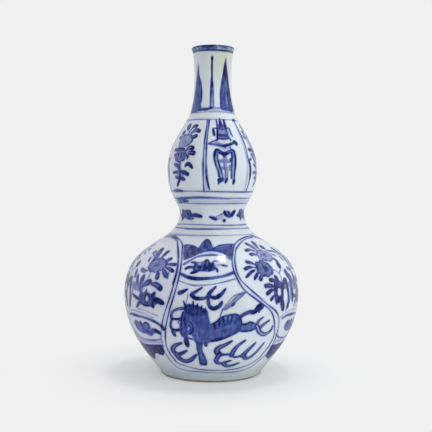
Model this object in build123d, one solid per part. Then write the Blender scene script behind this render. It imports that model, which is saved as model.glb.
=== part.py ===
from build123d import *

import os
from math import cos, radians, sin

# Double gourd vase in blue and white porcelain, about 300 mm tall.
#
# The vase is put together the way such vases are made. Five thrown sections are turned at the leather
# stage, butted end to end and luted with slip: a bowl with its foot, a shoulder dome, the two halves of
# the upper bulb, and a neck with a flared lip. The slip is wiped flush outside and stays as a low ridge
# inside. A glassy glaze covers the outside down to the foot, the inside, and the hollow under the foot.
# Only the foot rim is bare.
#
# Frame: millimetres, +Z up, origin on the floor at the centre of the foot rim.

# Heights, stacked from the floor to the lip
FOOT_RIM_HEIGHT = 2.0  # bare foot rim, below the glaze line
FOOT_TO_BELLY = 71.7
BELLY_TO_WAIST = 74.6
WAIST_TO_BULB = 39.5
BULB_TO_NECK_ROOT = 50.9
NECK_ROOT_TO_THROAT = 30.0
THROAT_TO_LIP = 29.0

# Radii of the glazed outside
FOOT_RADIUS = 47.0
BELLY_RADIUS = 80.7
WAIST_RADIUS = 29.8
BULB_RADIUS = 41.4
NECK_ROOT_RADIUS = 21.1
THROAT_RADIUS = 17.0
LIP_RADIUS = 19.6

# Lean of the outside from the vertical, in degrees, where it isn't upright
FOOT_LEAN = 8.0
NECK_ROOT_LEAN = 21.7
LIP_LEAN = 26.0

# Fullness of the curves: how far each end keeps its direction, as a share of the curve's own height
FOOT_FULLNESS = 0.066
BELLY_UNDER_FULLNESS = 0.555
BELLY_OVER_FULLNESS = 0.693
WAIST_UNDER_FULLNESS = 0.420
WAIST_OVER_FULLNESS = 0.197
BULB_UNDER_FULLNESS = 0.590
BULB_OVER_FULLNESS = 0.456
NECK_ROOT_UNDER_FULLNESS = 0.277
NECK_ROOT_OVER_FULLNESS = 0.242
THROAT_UNDER_FULLNESS = 0.317
THROAT_OVER_FULLNESS = 0.650
LIP_FULLNESS = 0.120
FLOOR_FULLNESS = 0.62  # along the bowl's floor, as a share of its inner radius
BOWL_WALL_FULLNESS = 0.72  # down the bowl's inner wall

# Walls and coats
CLAY_WALL = 4.2
LIP_THICKNESS = 3.2  # over the rounded lip, glaze included
GLAZE = 0.35
FLOOR_THICKNESS = 7.0

# Foot
FOOT_RIM_WIDTH = 4.6  # flat ring that stands on the floor
FOOT_OUTER_BEVEL = 1.1
FOOT_INNER_BEVEL = 0.7
FOOT_HOLLOW_DEPTH = 6.0
FOOT_HOLLOW_ROUND = 4.0

# Slip seams
SLIP_THICKNESS = 1.0
RIDGE_RADIUS = 2.2  # round back of the ridge of squeezed slip inside
RIDGE_PROUD = 1.1

BELLY_Z = FOOT_RIM_HEIGHT + FOOT_TO_BELLY
WAIST_Z = BELLY_Z + BELLY_TO_WAIST
BULB_Z = WAIST_Z + WAIST_TO_BULB
NECK_ROOT_Z = BULB_Z + BULB_TO_NECK_ROOT
THROAT_Z = NECK_ROOT_Z + NECK_ROOT_TO_THROAT
LIP_Z = THROAT_Z + THROAT_TO_LIP

INSIDE_DEPTH = GLAZE + CLAY_WALL  # from the glazed outside to the clay's inside
INSET_SAMPLES = 13  # points that carry a curve's inset copy


def lean(angle):
    """Unit direction in the profile plane that climbs while leaning outwards by the angle."""
    return Vector(sin(radians(angle)), cos(radians(angle)))


class Stretch:
    """A smooth stretch of the profile with an upright or leaning end at each ring of the vase."""

    def __init__(self, *controls):
        """Takes the four control points of a cubic curve, from the lower end to the upper end."""
        self.controls = [Vector(*point) for point in controls]

    @classmethod
    def climb(cls, start, start_lean, start_share, end, end_lean, end_share):
        """Stretch from one ring to the next one up, each end keeping its lean for a share of the height."""
        start, end = Vector(*start), Vector(*end)
        height = end.Y - start.Y
        first = start + lean(start_lean) * (start_share * height)
        second = end - lean(end_lean) * (end_share * height)
        return cls(start, first, second, end)

    @property
    def end(self):
        """Upper end."""
        return self.controls[3]

    def place(self, share):
        """Point at a share of the way along the curve's own parameter."""
        rest = 1 - share
        weights = (rest**3, 3 * rest**2 * share, 3 * rest * share**2, share**3)
        return sum((point * weight for point, weight in zip(self.controls, weights)), Vector(0, 0))

    def heading(self, share):
        """Unit direction of travel there."""
        rest = 1 - share
        weights = (rest**2, 2 * rest * share, share**2)
        legs = [after - before for before, after in zip(self.controls, self.controls[1:])]
        return sum((leg * weight for leg, weight in zip(legs, weights)), Vector(0, 0)).normalized()

    def curve(self):
        """The stretch as an edge."""
        return Bezier(*self.controls)

    def inset(self, depth, end_depth=None):
        """Edge that runs inside the stretch at a depth, which may ease to end_depth."""
        end_depth = depth if end_depth is None else end_depth
        points = []
        for step in range(INSET_SAMPLES):
            share = step / (INSET_SAMPLES - 1)
            eased = share * share * (3 - 2 * share)
            along = self.heading(share)
            inwards = Vector(-along.Y, along.X)
            points.append(self.place(share) + inwards * (depth + (end_depth - depth) * eased))
        headings = [self.heading(0), self.heading(1)]
        return Spline(*points, tangents=headings, tangent_scalars=[1, 1])


def outside_stretches():
    """The glazed outside from the foot to the lip, one stretch between each ring and the next."""
    foot = (FOOT_RADIUS, FOOT_RIM_HEIGHT)
    belly = (BELLY_RADIUS, BELLY_Z)
    waist = (WAIST_RADIUS, WAIST_Z)
    bulb = (BULB_RADIUS, BULB_Z)
    root = (NECK_ROOT_RADIUS, NECK_ROOT_Z)
    throat = (THROAT_RADIUS, THROAT_Z)
    lip = (LIP_RADIUS, LIP_Z)
    return [
        Stretch.climb(foot, FOOT_LEAN, FOOT_FULLNESS, belly, 0, BELLY_UNDER_FULLNESS),
        Stretch.climb(belly, 0, BELLY_OVER_FULLNESS, waist, 0, WAIST_UNDER_FULLNESS),
        Stretch.climb(waist, 0, WAIST_OVER_FULLNESS, bulb, 0, BULB_UNDER_FULLNESS),
        Stretch.climb(bulb, 0, BULB_OVER_FULLNESS, root, -NECK_ROOT_LEAN, NECK_ROOT_UNDER_FULLNESS),
        Stretch.climb(root, -NECK_ROOT_LEAN, NECK_ROOT_OVER_FULLNESS, throat, 0, THROAT_UNDER_FULLNESS),
        Stretch.climb(throat, 0, THROAT_OVER_FULLNESS, lip, LIP_LEAN, LIP_FULLNESS),
    ]


def bowl_floor():
    """The clay inside of the bowl, from the middle of its floor up to the belly."""
    middle = Vector(0, FOOT_HOLLOW_DEPTH + FLOOR_THICKNESS)
    rim = Vector(BELLY_RADIUS - INSIDE_DEPTH, BELLY_Z)
    along_floor = Vector(FLOOR_FULLNESS * rim.X, middle.Y)
    down_wall = Vector(rim.X, rim.Y - BOWL_WALL_FULLNESS * (rim.Y - middle.Y))
    return Stretch(middle, along_floor, down_wall, rim)


def clay_skin(outside):
    """The clay's outside, under the glaze, from the foot to the lip."""
    return [stretch.inset(GLAZE) for stretch in outside]


def inside_edges(outside, coat):
    """The inside above the belly under a coat of that depth, thinning towards the lip."""
    depth = INSIDE_DEPTH + GLAZE - coat
    edges = [stretch.inset(depth) for stretch in outside[1:-1]]
    return edges + [outside[-1].inset(depth, LIP_THICKNESS - coat)]


def lip_arcs(outside, coat):
    """The round of the lip under a coat of that depth: its outer half, then its inner half."""
    climbing = lean(LIP_LEAN)
    inwards = Vector(-climbing.Y, climbing.X)
    centre = outside[-1].end + inwards * (LIP_THICKNESS / 2)
    radius = LIP_THICKNESS / 2 - coat
    crest = centre + climbing * radius
    halves = []
    for side, begin, finish in (
        (-inwards, centre - inwards * radius, crest),
        (inwards, crest, centre + inwards * radius),
    ):
        halfway = centre + (climbing + side).normalized() * radius
        halves.append(ThreePointArc(begin, halfway, finish))
    return halves


def foot_edges(glaze_line):
    """The bare foot rim, the round of the hollow under it, and the hollow's ceiling to the axis."""
    inner_radius = glaze_line.X - FOOT_OUTER_BEVEL - FOOT_RIM_WIDTH - FOOT_INNER_BEVEL
    hollow_side = FOOT_HOLLOW_DEPTH - FOOT_HOLLOW_ROUND
    rim = Polyline(
        glaze_line,
        (glaze_line.X, FOOT_OUTER_BEVEL),
        (glaze_line.X - FOOT_OUTER_BEVEL, 0),
        (inner_radius + FOOT_INNER_BEVEL, 0),
        (inner_radius, FOOT_INNER_BEVEL),
        (inner_radius, hollow_side),
    )
    round_centre = (inner_radius - FOOT_HOLLOW_ROUND, hollow_side)
    hollow_round = CenterArc(round_centre, FOOT_HOLLOW_ROUND, 0, 90)
    ceiling = Line(hollow_round @ 1, (0, FOOT_HOLLOW_DEPTH))
    return rim, hollow_round, ceiling


def region(*edges):
    """Flat face bounded by edges that meet end to end."""
    return make_face(edges)


def clay_region(outside):
    """Section through the whole clay body, from the axis out."""
    skin = clay_skin(outside)
    floor = bowl_floor().curve()
    foot = foot_edges(skin[0] @ 0)
    middle = Line(foot[-1] @ 1, floor @ 0)
    return region(*skin, *lip_arcs(outside, GLAZE), *inside_edges(outside, GLAZE), floor, middle, *foot)


def outer_glaze_region(outside):
    """Section through the coat on the outside, from the glaze line up to the crest of the lip."""
    skin = clay_skin(outside)
    surface = [stretch.curve() for stretch in outside]
    surface_lip = lip_arcs(outside, 0)[0]
    clay_lip = lip_arcs(outside, GLAZE)[0]
    glaze_line = Line(surface[0] @ 0, skin[0] @ 0)
    crest = Line(surface_lip @ 1, clay_lip @ 1)
    return region(*surface, surface_lip, crest, clay_lip, *skin, glaze_line)


def inner_glaze_region(outside):
    """Section through the coat on the inside, from the crest of the lip down to the floor."""
    clay_floor = bowl_floor().curve()
    surface_floor = bowl_floor().inset(GLAZE)
    surface_lip = lip_arcs(outside, 0)[1]
    clay_lip = lip_arcs(outside, GLAZE)[1]
    crest = Line(surface_lip @ 0, clay_lip @ 0)
    middle = Line(clay_floor @ 0, surface_floor @ 0)
    clay = [clay_lip, *inside_edges(outside, GLAZE), clay_floor]
    surface = [surface_floor, *inside_edges(outside, 0), surface_lip]
    return region(*clay, middle, *surface, crest)


def base_glaze_region(outside):
    """Section through the coat in the hollow under the foot."""
    _, clay_round, ceiling = foot_edges(clay_skin(outside)[0] @ 0)
    surface_round = CenterArc(clay_round.arc_center, FOOT_HOLLOW_ROUND - GLAZE, 0, 90)
    middle = Line(ceiling @ 1, (0, FOOT_HOLLOW_DEPTH - GLAZE))
    surface = Line(surface_round @ 1, middle @ 1)
    edge = Line(clay_round @ 0, surface_round @ 0)
    return region(clay_round, ceiling, middle, surface, surface_round, edge)


def strip(bottom, top):
    """Flat strip past the whole profile between two heights."""
    width = max(BELLY_RADIUS, FOOT_RADIUS, BULB_RADIUS, LIP_RADIUS) + LIP_THICKNESS
    return Pos(width / 2, (bottom + top) / 2) * Rectangle(width, top - bottom)


def ridge(inside_radius, height, coat):
    """Round of the slip ridge on the inside at a seam, grown by a coat over it."""
    centre = inside_radius + RIDGE_RADIUS - RIDGE_PROUD
    return Pos(centre, height) * Circle(RIDGE_RADIUS + coat)


def thrown(section):
    """Solid turned about the vase's axis from a section in the profile plane."""
    return revolve(Plane.XZ * section, Axis.Z, clean=False)


def build():
    """All the vase's pieces by name."""
    outside = outside_stretches()
    clay = clay_region(outside)
    sections = ("base_bowl", "shoulder_dome", "upper_bulb_lower_half", "upper_bulb_upper_half", "neck")
    seams = {
        "belly_slip_seam": BELLY_Z,
        "waist_slip_seam": WAIST_Z,
        "upper_bulb_slip_seam": BULB_Z,
        "neck_slip_seam": NECK_ROOT_Z,
    }
    bottoms = [-FOOT_RIM_HEIGHT] + [height + SLIP_THICKNESS / 2 for height in seams.values()]
    tops = [height - SLIP_THICKNESS / 2 for height in seams.values()] + [LIP_Z + LIP_THICKNESS]

    pieces = {}
    for name, bottom, top in zip(sections, bottoms, tops):
        pieces[name] = thrown(clay & strip(bottom, top))
    inner_glaze = inner_glaze_region(outside)
    for name, height in seams.items():
        joint = clay & strip(height - SLIP_THICKNESS / 2, height + SLIP_THICKNESS / 2)
        inside_radius = joint.bounding_box().min.X
        squeezed = ridge(inside_radius, height, 0) - clay
        pieces[name] = thrown(joint + squeezed)
        inner_glaze = inner_glaze + (ridge(inside_radius, height, GLAZE) - clay) - squeezed
    pieces["outer_glaze"] = thrown(outer_glaze_region(outside))
    pieces["inner_glaze"] = thrown(inner_glaze)
    pieces["base_glaze"] = thrown(base_glaze_region(outside))
    return pieces


os.makedirs("parts", exist_ok=True)
for piece_name, piece in build().items():
    export_step(piece, f"parts/{piece_name}.step")
    print(piece_name, round(piece.volume), "mm3", "valid" if piece.is_valid else "NOT VALID")
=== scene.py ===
"""Looks of a double gourd vase: porcelain painted in cobalt blue under a clear glaze."""

import logging
import math
from dataclasses import dataclass, replace
from enum import Enum

import bmesh
import bpy
import numpy as np
from mathutils import Matrix, Vector


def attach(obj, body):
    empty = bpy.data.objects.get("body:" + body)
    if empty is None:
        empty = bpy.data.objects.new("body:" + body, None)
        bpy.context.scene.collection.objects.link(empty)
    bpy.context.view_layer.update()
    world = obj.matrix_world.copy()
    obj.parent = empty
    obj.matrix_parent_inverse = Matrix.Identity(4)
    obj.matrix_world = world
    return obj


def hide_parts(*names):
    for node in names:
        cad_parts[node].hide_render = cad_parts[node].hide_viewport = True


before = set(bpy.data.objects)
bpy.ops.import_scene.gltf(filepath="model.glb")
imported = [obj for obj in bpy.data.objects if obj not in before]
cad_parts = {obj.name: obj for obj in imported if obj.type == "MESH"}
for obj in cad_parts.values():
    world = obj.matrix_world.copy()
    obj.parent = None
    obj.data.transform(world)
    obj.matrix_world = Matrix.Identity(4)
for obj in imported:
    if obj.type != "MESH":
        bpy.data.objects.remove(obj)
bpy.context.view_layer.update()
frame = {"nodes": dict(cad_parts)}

log = logging.getLogger("vase")

MM = 0.001
TINY = 1e-9
BODY = "root"

# A place on the wall: degrees round the vase from the front, to the right, and millimetres up the wall
Place = tuple[float, float]


def linear(hex_colour: str) -> tuple[float, float, float, float]:
    """Turn an sRGB hex colour into linear light.

    Args:
        hex_colour: six hex digits, as in "D8DCDD".

    Returns:
        Red, green, blue and an alpha of one.
    """
    channels = [int(hex_colour[start:start + 2], 16) / 255 for start in (0, 2, 4)]
    light = [c / 12.92 if c <= 0.04045 else ((c + 0.055) / 1.055) ** 2.4 for c in channels]
    return (*light, 1.0)


def per_metre(size: float) -> float:
    """Pattern scale for features of a size in millimetres."""
    return 1 / (size * MM)


def add_node(tree: bpy.types.NodeTree, kind: str, inputs: dict | None = None, **settings) -> bpy.types.Node:
    """Add a node with its settings, and link or set its inputs.

    Args:
        tree: node tree that takes the node.
        kind: Blender's name for the node type.
        inputs: input name or number to an output socket or a plain value.
        settings: properties of the node.

    Returns:
        The new node.
    """
    node = tree.nodes.new(kind)
    for name, value in settings.items():
        setattr(node, name, value)
    for name, value in (inputs or {}).items():
        if isinstance(value, bpy.types.NodeSocket):
            tree.links.new(value, node.inputs[name])
        else:
            node.inputs[name].default_value = value
    return node


@dataclass(frozen=True)
class Ring:
    """A level of the vase where its outline has a set direction.

    Attributes:
        height: above the floor, mm.
        radius: of the glazed outside, mm.
        lean: outwards from the upright, degrees.
        under: how far the curve below keeps that direction, as a share of its own height.
        over: the same for the curve above.
    """

    height: float
    radius: float
    lean: float = 0.0
    under: float = 0.0
    over: float = 0.0

    def heading(self) -> np.ndarray:
        """Unit direction of the outline here, as radius and height."""
        angle = math.radians(self.lean)
        return np.array((math.sin(angle), math.cos(angle)))

    def spot(self) -> np.ndarray:
        """The ring's point of the outline, as radius and height."""
        return np.array((self.radius, self.height))


class Wall:
    """The glazed outside as a curve, measured in millimetres up the wall from the glaze line at the foot."""

    rings = (
        Ring(2.0, 47.0, lean=8.0, over=0.066),
        Ring(73.7, 80.7, under=0.555, over=0.693),
        Ring(148.3, 29.8, under=0.420, over=0.197),
        Ring(187.8, 41.4, under=0.590, over=0.456),
        Ring(238.7, 21.1, lean=-21.7, under=0.277, over=0.242),
        Ring(268.7, 17.0, under=0.317, over=0.650),
        Ring(297.7, 19.6, lean=26.0, under=0.120),
    )
    lip_round = 1.6
    samples = 400

    def __init__(self) -> None:
        """Work out the outline from the foot to the crest of the lip."""
        pieces = [self._stretch(low, high) for low, high in zip(self.rings, self.rings[1:])]
        outline = np.concatenate(pieces + [self._lip()])
        steps = np.hypot(*np.diff(outline, axis=0).T)
        fresh = np.concatenate(([True], steps > TINY))
        outline = outline[fresh]
        steps = np.hypot(*np.diff(outline, axis=0).T)
        self.climb = np.concatenate(([0.0], np.cumsum(steps)))
        self.length = float(self.climb[-1])
        self.outline = outline
        travel = np.gradient(outline, self.climb, axis=0)
        outwards = np.stack((travel[:, 1], -travel[:, 0]), axis=1)
        self.outwards = outwards / np.linalg.norm(outwards, axis=1)[:, None]

    def _stretch(self, low: Ring, high: Ring) -> np.ndarray:
        """Points of the cubic curve from one ring up to the next, as radius and height."""
        rise = high.height - low.height
        first = low.spot() + low.heading() * low.over * rise
        second = high.spot() - high.heading() * high.under * rise
        t = np.linspace(0, 1, self.samples)[:, None]
        ends = (1 - t) ** 3 * low.spot() + t**3 * high.spot()
        return ends + 3 * (1 - t) ** 2 * t * first + 3 * (1 - t) * t**2 * second

    def _lip(self) -> np.ndarray:
        """Points of the outer half of the rounded lip, as radius and height."""
        top = self.rings[-1]
        climbing = top.heading()
        inwards = np.array((-climbing[1], climbing[0]))
        centre = top.spot() + inwards * self.lip_round
        turn = np.linspace(0, math.pi / 2, self.samples)[:, None]
        return centre + self.lip_round * (climbing * np.sin(turn) - inwards * np.cos(turn))

    def at(self, climb: np.ndarray | float) -> np.ndarray:
        """Radius and height of the wall, mm, at distances up it."""
        return np.stack([np.interp(climb, self.climb, column) for column in self.outline.T], axis=-1)

    def facing(self, climb: np.ndarray | float) -> np.ndarray:
        """Unit outward direction of the wall there, as radius and height."""
        return np.stack([np.interp(climb, self.climb, column) for column in self.outwards.T], axis=-1)


# How strokes swell and thin, as shares of their full width and length
ROUND_END = 0.3
FLAME_POINT = 0.4
FLAME_START = 0.6
FLAME_SWELL = 4.0
FLAME_TAPER = 0.8
PETAL_FULL = 0.75


class Tip(Enum):
    """How a brush stroke swells and thins along its way."""

    EVEN = "even"
    DAB = "dab"
    FLAME = "flame"
    PETAL = "petal"

    def spread(self, along: np.ndarray) -> np.ndarray:
        """Share of the full width at each share of the way along."""
        if self is Tip.DAB:
            return ROUND_END + (1 - ROUND_END) * np.sqrt(np.clip(1 - (2 * along - 1) ** 2, 0, 1))
        if self is Tip.FLAME:
            swell = np.minimum(1, FLAME_START + FLAME_SWELL * along)
            return FLAME_POINT + (1 - FLAME_POINT) * swell * (1 - along) ** FLAME_TAPER
        if self is Tip.PETAL:
            swell = np.sin(np.minimum(1, along / PETAL_FULL) * math.pi / 2)
            return ROUND_END + (1 - ROUND_END) * swell
        return np.ones_like(along)


@dataclass(frozen=True)
class Stroke:
    """One pass of the loaded brush.

    Attributes:
        path: places that the brush goes through.
        width: half-width at its fullest, mm.
        ink: strength of the cobalt, from 0 to 1.
        tip: how it swells and thins.
        last_ink: strength at its end, where that differs.
        core: strength along its middle, where a full brush leaves its colour at the edges.
        lifts: whether it takes colour up, down to its ink, instead of laying it on.
    """

    path: tuple[Place, ...]
    width: float
    ink: float
    tip: Tip = Tip.EVEN
    last_ink: float | None = None
    core: float | None = None
    lifts: bool = False


@dataclass(frozen=True)
class Wash:
    """A patch filled with diluted cobalt.

    Attributes:
        outline: places round its edge.
        ink: strength of the cobalt.
        streaks: how much the bristles show, as a share of the ink.
    """

    outline: tuple[Place, ...]
    ink: float
    streaks: float = 0.08


Mark = Stroke | Wash


@dataclass(frozen=True)
class WheelLine:
    """A line drawn right round the vase while it turns on a wheel.

    Attributes:
        climb: millimetres up the wall.
        width: half-width, mm.
        ink: strength of the cobalt.
        wander: how far it strays up and down, mm.
    """

    climb: float
    width: float
    ink: float
    wander: float = 0.25


def line(*path: Place, width: float = 0.7, ink: float = 0.55, core: float | None = None) -> Stroke:
    """A stroke of even width."""
    return Stroke(path, width, ink, core=core)


def dab(*path: Place, width: float = 1.6, ink: float = 0.8, last_ink: float | None = None) -> Stroke:
    """A short round-ended stroke, as for a petal or a leaf."""
    return Stroke(path, width, ink, Tip.DAB, last_ink)


def flame(*path: Place, width: float = 1.6, ink: float = 0.9, core: float | None = None) -> Stroke:
    """A stroke that starts full and ends in a point."""
    return Stroke(path, width, ink, Tip.FLAME, core=core)


def petal(*path: Place, width: float = 1.9, ink: float = 0.93, core: float | None = None) -> Stroke:
    """A stroke that starts thin and ends full and round."""
    return Stroke(path, width, ink, Tip.PETAL, core=core)


def lift(*path: Place, width: float = 1.0, ink: float = 0.0) -> Stroke:
    """A spot among the paint where a dry brush takes colour up."""
    return Stroke(path, width, ink, Tip.DAB, lifts=True)


def wash(*outline: Place, ink: float, streaks: float = 0.08) -> Wash:
    """A filled patch."""
    return Wash(outline, ink, streaks)


# A flower head's scallops, and the angle in radians and reach of each bend of the squiggle in its middle.
# Reaches are shares of its size, and the half-widths of its lines are in millimetres
SCALLOP_STEPS = 6
SCALLOP_DIP = 0.9
SCALLOP_RISE = 0.14
SQUIGGLE = ((2.6, 0.32), (0.9, 0.14), (4.2, 0.18), (5.8, 0.34))
SQUIGGLE_WIDTH = 0.5
RIM_WIDTH = 0.55
BLOOM_STREAKS = 0.12


def bloom(
    middle: Place, across: float, up: float, ink: float, rim: float, petals: int = 9
) -> tuple[Mark, ...]:
    """A flower head seen from the front.

    Args:
        middle: place of its middle.
        across: half its width, degrees.
        up: half its height, mm.
        ink: strength of the wash.
        rim: strength of the line round it.
        petals: how many scallops go round it.

    Returns:
        A scalloped wash, the line round it and a squiggle in its middle.
    """
    def spot(turn: float, reach: float) -> Place:
        """Place at an angle, and at a share of the way from the middle to the edge."""
        return middle[0] + across * reach * math.cos(turn), middle[1] + up * reach * math.sin(turn)

    steps = SCALLOP_STEPS * petals
    turns = [2 * math.pi * step / steps for step in range(steps)]
    edge = [spot(turn, SCALLOP_DIP + SCALLOP_RISE * abs(math.cos(petals * turn / 2))) for turn in turns]
    outline = line(*edge, edge[0], width=RIM_WIDTH, ink=rim)
    squiggle = line(*(spot(*bend) for bend in SQUIGGLE), width=SQUIGGLE_WIDTH, ink=rim)
    return wash(*edge, ink=ink, streaks=BLOOM_STREAKS), outline, squiggle


def turned(marks: tuple[Mark, ...], turn: float) -> tuple[Mark, ...]:
    """The same marks further round the vase by some degrees."""
    moved = []
    for mark in marks:
        name = "outline" if isinstance(mark, Wash) else "path"
        places = tuple((degrees + turn, climb) for degrees, climb in getattr(mark, name))
        moved.append(replace(mark, **{name: places}))
    return tuple(moved)


def smooth_curve(points: np.ndarray, closed: bool, pieces: int) -> np.ndarray:
    """Run a smooth curve through places.

    Args:
        points: the places, one per row.
        closed: whether the curve goes back to its start.
        pieces: samples between one place and the next.

    Returns:
        Places along the curve, one per row.
    """
    if closed:
        padded = np.concatenate((points[-1:], points, points[:2]))
    else:
        padded = np.concatenate((2 * points[:1] - points[1:2], points, 2 * points[-1:] - points[-2:-1]))
    before, here, there, after = padded[:-3], padded[1:-2], padded[2:-1], padded[3:]
    t = np.linspace(0, 1, pieces, endpoint=False)[None, :, None]
    before, here, there, after = (array[:, None, :] for array in (before, here, there, after))
    curve = here + 0.5 * t * (
        there - before
        + t * (2 * before - 5 * here + 4 * there - after + t * (3 * (here - there) + after - before))
    )
    curve = curve.reshape(-1, 2)
    return curve if closed else np.concatenate((curve, points[-1:]))


class Canvas:
    """The unrolled wall, with the strength of the cobalt at each spot of it.

    Attributes:
        columns: spots round the vase.
        pitch: spacing of the rows up the wall, mm.
        soft_edge: width of the fade at the edge of a mark, mm.
        stroke_pieces: samples between one place of a stroke and the next.
        wash_pieces: the same for the outline of a wash.
        spacing: between touches of the brush along a stroke, mm.
        core_reach: share of a stroke that has a pale core.
        core_width: width of that core, as a share of the stroke's.
        press_share: how much the hand's pressure varies along an even stroke.
        press_length: how soon it varies, mm.
        bristle_rows: rows over which one bristle's streak changes.
        bristle_blend: divides the sum of three neighbouring streaks.
        streak_limits: least and most of a wash's ink that a streak leaves, as shares.
        wheel_waves: waves round the vase in a line right round, two in its level and two in its strength.
        lesser_stray: size of the second change of level, as a share of the first.
        wheel_swell: slow change of strength in such a line, as a share.
        wheel_ripple: quick change of the same.
        drift: reach in degrees, rate per mm and step per repeat of the sideways change of a repeated motif.
        sway: reach in mm, rate per degree and step per repeat of its upward change.
        bleed_spread: how far the cobalt runs, in spots.
        bleed_reach: how many spreads the run is followed for.
        bleed_strength: share of the ink that runs.
        short_of_end: keeps the neighbour above the last row inside the canvas.
        seed: of the random draws.
    """

    columns = 960
    pitch = 0.5
    soft_edge = 0.5
    stroke_pieces = 24
    wash_pieces = 6
    spacing = 0.35
    core_reach = 0.75
    core_width = 0.35
    press_share = 0.13
    press_length = 4.5
    bristle_rows = 14
    bristle_blend = 1.7
    streak_limits = (0.2, 1.6)
    wheel_waves = (1, 3, 2, 7)
    lesser_stray = 0.5
    wheel_swell = 0.22
    wheel_ripple = 0.12
    drift = (0.7, 0.09, 1.7)
    sway = (0.8, 0.11, 2.1)
    bleed_spread = 2.2
    bleed_reach = 3
    bleed_strength = 0.42
    short_of_end = 1.001
    seed = 7

    def __init__(self, wall: Wall) -> None:
        """Take a bare wall."""
        self.climb = np.arange(0, wall.length + self.pitch, self.pitch)
        self.radius = wall.at(self.climb)[:, 0]
        self.degrees = np.arange(self.columns) * 360 / self.columns - 180
        self.ink = np.zeros((len(self.climb), self.columns))
        self.draws = np.random.default_rng(self.seed)
        coarse = self.draws.normal(size=(len(self.climb) // self.bristle_rows + 2, self.columns))
        rows = np.linspace(0, len(coarse) - self.short_of_end, len(self.climb))
        low = rows.astype(int)
        share = (rows - low)[:, None]
        bristles = coarse[low] * (1 - share) + coarse[low + 1] * share
        beside = np.roll(bristles, 1, axis=1), np.roll(bristles, -1, axis=1)
        self.bristles = (bristles + beside[0] + beside[1]) / self.bristle_blend

    def radius_at(self, climb: np.ndarray | float) -> np.ndarray:
        """Radius of the wall, mm, at a distance up it."""
        return np.interp(climb, self.climb, self.radius)

    def window(self, low: Place, high: Place) -> tuple[np.ndarray, np.ndarray]:
        """Rows and columns of the patch between two corners. Columns may run past the ends, to be wrapped."""
        step = 360 / self.columns
        rows = np.arange(
            max(0, math.floor(low[1] / self.pitch)), min(len(self.climb), math.ceil(high[1] / self.pitch) + 1)
        )
        columns = np.arange(math.floor((low[0] + 180) / step), math.ceil((high[0] + 180) / step) + 1)
        return rows, columns

    def lay(
        self,
        rows: np.ndarray,
        columns: np.ndarray,
        cover: np.ndarray,
        ink: np.ndarray | float,
        lifts: bool = False,
    ) -> None:
        """Put cobalt on a patch where cover says, or take it up there down to the ink."""
        patch = np.ix_(rows, columns % self.columns)
        if lifts:
            self.ink[patch] = np.minimum(self.ink[patch], 1 - cover * (1 - ink))
        else:
            self.ink[patch] = np.maximum(self.ink[patch], np.minimum(ink, 1) * cover)

    def stroke(self, stroke: Stroke, path: np.ndarray) -> None:
        """Draw a stroke along a path of places."""
        curve = smooth_curve(path, False, self.stroke_pieces)
        scale = np.radians(self.radius_at(curve[:, 1]))
        steps = np.hypot(np.diff(curve[:, 0]) * scale[:-1], np.diff(curve[:, 1]))
        travel = np.concatenate(([0.0], np.cumsum(steps)))
        count = max(2, math.ceil(travel[-1] / self.spacing) + 1)
        along = np.linspace(0, 1, count)
        places = [np.interp(along * travel[-1], travel, column) for column in curve.T]
        widths = stroke.width * stroke.tip.spread(along)
        last = stroke.ink if stroke.last_ink is None else stroke.last_ink
        inks = stroke.ink + (last - stroke.ink) * along
        if stroke.tip is Tip.EVEN:
            press = 1 + self.press_share * np.sin(path[0].sum() + along * travel[-1] / self.press_length)
            widths = widths * press
            inks = inks * press
        for degrees, climb, width, ink in zip(*places, widths, inks):
            self.touch((degrees, climb), width, ink, stroke.lifts)
        if stroke.core is not None:
            cored = along < self.core_reach
            for degrees, climb, width in zip(*(column[cored] for column in (*places, widths))):
                self.touch((degrees, climb), width * self.core_width, stroke.core, True)

    def touch(self, place: Place, width: float, ink: float, lifts: bool) -> None:
        """Touch the wall once with a round brush."""
        radius = float(self.radius_at(place[1]))
        reach = width + self.soft_edge
        turn = math.degrees(reach / radius)
        rows, columns = self.window((place[0] - turn, place[1] - reach), (place[0] + turn, place[1] + reach))
        across = np.radians(columns * 360 / self.columns - 180 - place[0]) * radius
        up = self.climb[rows] - place[1]
        gap = np.hypot(across[None, :], up[:, None])
        self.lay(rows, columns, np.clip((width - gap) / self.soft_edge + 0.5, 0, 1), ink, lifts)

    def flood(self, patch: Wash, outline: np.ndarray) -> None:
        """Fill a smooth closed outline."""
        edge = smooth_curve(outline, True, self.wash_pieces)
        radius = float(self.radius_at(edge[:, 1].mean()))
        turn = math.degrees(self.soft_edge / radius)
        low = edge.min(axis=0) - (turn, self.soft_edge)
        high = edge.max(axis=0) + (turn, self.soft_edge)
        rows, columns = self.window(low, high)
        x = np.radians(columns * 360 / self.columns - 180) * radius
        x, y = np.meshgrid(x, self.climb[rows])
        start = edge * (math.radians(1) * radius, 1)
        finish = np.roll(start, -1, axis=0)
        inside = np.zeros(x.shape, bool)
        nearest = np.full(x.shape, np.inf)
        for (x0, y0), (x1, y1) in zip(start, finish):
            run, rise = x1 - x0, y1 - y0
            if rise:
                crosses = (y0 > y) != (y1 > y)
                inside ^= crosses & (x < x0 + (y - y0) * run / rise)
            share = np.clip(((x - x0) * run + (y - y0) * rise) / max(run**2 + rise**2, TINY), 0, 1)
            nearest = np.minimum(nearest, np.hypot(x - x0 - share * run, y - y0 - share * rise))
        depth = np.where(inside, nearest, -nearest)
        cover = np.clip(depth / self.soft_edge + 0.5, 0, 1)
        grain = self.bristles[np.ix_(rows, columns % self.columns)]
        self.lay(rows, columns, cover, patch.ink * np.clip(1 + patch.streaks * grain, *self.streak_limits))

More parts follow.
